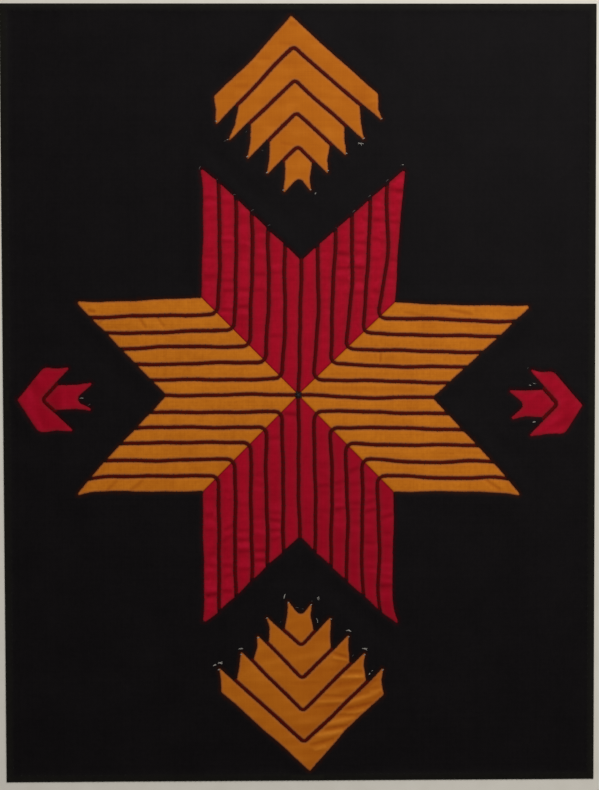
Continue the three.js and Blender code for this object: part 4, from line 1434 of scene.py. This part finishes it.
# %% [markdown]
# ## The cotton finishes
#
# Each cotton mixes a darker and a lighter tone of its dye, by the shade of each thread and by soft clouds
# where the dye took unevenly or has faded. Over that lie marks, from the attributes that were stored
# with the shape, and most of them are painted light. On the red cloth a painted shade lies a few
# millimetres in from a black line, on the orange a paler painted highlight, and both are in deep painted
# shade right under the fold. Creases take painted shade and ridges painted highlights, and the ditch of a
# seam a painted shadow. Some cloths are darker all over, and on the lower ones a painted shade grows
# towards the right. Black folds take a painted highlight tinted with the colour of the cloth beside them,
# the black lines are tinted towards that colour too, and the hem is painted a little lighter and warmer,
# as light thrown back from the pale board.
#
# Cotton has no gloss, so it is rough all over, with a weak sheen from its fuzz. Sheen is one number for
# the whole cloth, so it is set on the shader itself.

# %% Mix the cottons
THREADS_PER_METRE = 2200
CLOUDS = {"large": 28, "small": 420}  # how many fit in a metre
TONES = {"large": 1.6, "small": 1.2, "shade": 0.3, "slub": 0.55, "height": 0.3}
LINT = {"per_metre": 55, "radius": 0.022, "colour": (120, 116, 112)}


def cotton(name, dark, light, marks, clouds, gloss, lint=0.0):
    """dark and light are the dye's two tones, and clouds how strongly it varies. marks are pairs of an
    attribute and the tone that the cloth takes where it is 1."""
    material, tree = new_material(name)
    place = add_node(tree, "ShaderNodeTexCoord").outputs["Object"]
    height, shade, slub = add_node(tree, "ShaderNodeGroup",
                                   {"Place": place, "Threads per metre": THREADS_PER_METRE},
                                   node_tree=PLAIN_WEAVE).outputs

    def noise_of(scale, detail, roughness=0.5):
        inputs = {"Vector": place, "Scale": scale, "Detail": detail, "Roughness": roughness}
        return add_node(tree, "ShaderNodeTexNoise", inputs).outputs[0]

    def part(value, share):
        return calc(tree, "MULTIPLY", calc(tree, "SUBTRACT", value, 0.5), share)

    small = noise_of(CLOUDS["small"], 2)
    tone = 0.5
    for layer in (part(noise_of(CLOUDS["large"], 3, 0.6), TONES["large"] * clouds),
                  part(small, TONES["small"] * clouds), part(shade, TONES["shade"]),
                  part(slub, TONES["slub"]), part(height, TONES["height"])):
        tone = calc(tree, "ADD", tone, layer)
    colour = blended(tree, tone, srgb(*dark), srgb(*light))
    # Most marks paint light and shade into the colour.
    for attribute, marked_tone in marks:
        mark = add_node(tree, "ShaderNodeAttribute", attribute_name=attribute).outputs["Fac"]
        share = calc(tree, "MULTIPLY", mark, calc(tree, "ADD", small, 0.4))
        colour = blended(tree, share, colour, srgb(*marked_tone))
    if lint:
        specks = add_node(tree, "ShaderNodeTexVoronoi",
                          {"Vector": place, "Scale": LINT["per_metre"], "Randomness": 1}).outputs
        chosen = add_node(tree, "ShaderNodeSeparateColor", {0: specks["Color"]}).outputs[0]
        some = calc(tree, "LESS_THAN", chosen, lint)
        here = calc(tree, "LESS_THAN", specks["Distance"], LINT["radius"])
        colour = blended(tree, calc(tree, "MULTIPLY", here, some), colour, srgb(*LINT["colour"]))
    bump = add_node(tree, "ShaderNodeBump", {"Strength": 0.35, "Distance": 0.12 * MM, "Height": height})
    shaded(tree, Base_Color=colour, Roughness=calc(tree, "ADD", part(slub, 0.12), 0.62),
           Normal=bump.outputs[0], Specular_IOR_Level=gloss, Sheen_Weight=0.01, Sheen_Roughness=0.4)
    return material


# Painted light on the black: a tinted highlight on each fold, and light from the board on the hem.
BLACK = cotton("black_cotton_cloth", (9, 7, 8), (19, 16, 17),
               marks=[("fold_by_red", (40, 2, 6)), ("fold_by_orange", (40, 11, 2)),
                      ("rib_in_red", (78, 0, 1)), ("rib_in_orange", (72, 7, 0)), ("hem", (24, 23, 18))],
               clouds=0.5, gloss=0.04, lint=0.06)
# Painted light on the red: shade by the edges, under the fold, in creases and seams, highlights on ridges.
RED = cotton("red_cotton_cloth", (133, 4, 24), (169, 11, 37),
             marks=[("darker_tone_and_shade", (126, 5, 25)), ("edge_shade_and_highlight", (126, 21, 32)), ("crease_shade", (112, 3, 18)),
                    ("raised", (176, 18, 48)), ("fold_shadow", (92, 4, 14)), ("seam", (94, 1, 3))],
             clouds=0.6, gloss=0.03)
# Painted light on the orange: highlights by the edges and on ridges, shade under folds, in creases and
# seams.
ORANGE = cotton("orange_cotton_cloth", (160, 84, 13), (195, 114, 25),
                marks=[("darker_tone_and_shade", (158, 80, 13)), ("edge_shade_and_highlight", (170, 102, 54)),
                       ("crease_shade", (142, 64, 10)), ("raised", (198, 118, 34)),
                       ("fold_shadow", (104, 50, 18)), ("seam", (168, 84, 18))],
                clouds=0.5, gloss=0.03)

ground.data.materials.append(BLACK)
for patch in PATCHES:
    patch["piece"].data.materials.append(RED if patch["red"] else ORANGE)
print("finishes:", [material.name for material in bpy.data.materials])

# %% [markdown]
# ## Floor and light
#
# The cloth lies on a plain pale board. One large soft lamp stands beyond its upper edge and a pale room
# fills the shadows. The lamp is nearer to the upper edge, so the light falls off towards the lower one,
# and every fold that faces up the cloth catches it.

# %% Light the scene
def make_floor():
    material, tree = new_material("pale_board")
    place = add_node(tree, "ShaderNodeTexCoord").outputs["Object"]
    fleck = add_node(tree, "ShaderNodeTexNoise", {"Vector": place, "Scale": 60, "Detail": 4}).outputs[0]
    shaded(tree, Base_Color=blended(tree, fleck, srgb(200, 194, 182), srgb(212, 207, 196)), Roughness=0.9)
    half = 2.0
    corners = np.array([(-half, -half, 0), (half, -half, 0), (half, half, 0), (-half, half, 0)])
    floor = mesh_object("pale_floor", corners, np.array([(0, 1, 2, 3)]))
    floor.data.materials.append(material)


LAMP = {"place": (0.45, 0.64, 1.12), "size": 0.8, "power": 16.3}
ROOM = {"light": 0.3, "seen": 0.9}


def make_lamp():
    data = bpy.data.lights.new("window_light", "AREA")
    data.shape = "SQUARE"
    data.size = LAMP["size"]
    data.energy = LAMP["power"]
    lamp = linked("window_light", data)
    lamp.location = LAMP["place"]
    lamp.rotation_euler = Vector(LAMP["place"]).to_track_quat("Z", "Y").to_euler()
    lamp.visible_camera = False


def make_room():
    world = bpy.data.worlds.new("pale_room")
    world.use_nodes = True
    tree = world.node_tree
    tree.nodes.clear()
    rays = add_node(tree, "ShaderNodeLightPath")
    strength = add_node(tree, "ShaderNodeMix", {0: rays.outputs["Is Camera Ray"], 2: ROOM["light"],
                                                3: ROOM["seen"]})
    background = add_node(tree, "ShaderNodeBackground",
                          {"Color": (1, 1, 1, 1), "Strength": strength.outputs[0]})
    output = add_node(tree, "ShaderNodeOutputWorld")
    tree.links.new(background.outputs[0], output.inputs["Surface"])
    bpy.context.scene.world = world


make_floor()
make_lamp()
make_room()
bpy.context.scene.view_settings.view_transform = "Standard"
print("lamp at", LAMP["place"])

# %% [markdown]
# ## Hide the CAD solids
#
# The CAD solids that the cloths stand for are hidden. The cut sizes worked out beside them are not
# used. Nothing on a cloth moves by itself, so everything rides on the one body.

# %% Hide the CAD solids and attach the pieces
HEM_CUT = 20  # cloth for the hems, from left to right and from top to bottom


def area_of(ring):
    return abs(signed_area(ring)) * MM * MM


def declare():
    threads = BLACK_THREADS + PALE_THREADS
    cut = ((CLOTH["width"] + HEM_CUT) * MM, (CLOTH["height"] + HEM_CUT) * MM)
    cut_area = cut[0] * cut[1] - sum(area_of(ring) for ring in WINDOWS)
    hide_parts("ground_cloth")
    for patch in PATCHES:
        piece, ring = patch["piece"], patch["ring"]
        upright = turned(ring, -own_turn(patch))
        size = (np.ptp(upright.real) * MM, np.ptp(upright.imag) * MM)
        min(area_of(ring), size[0] * size[1])
        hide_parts(patch["name"])
    for piece in [ground, *threads, *(patch["piece"] for patch in PATCHES)]:
        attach(piece, "root")


declare()
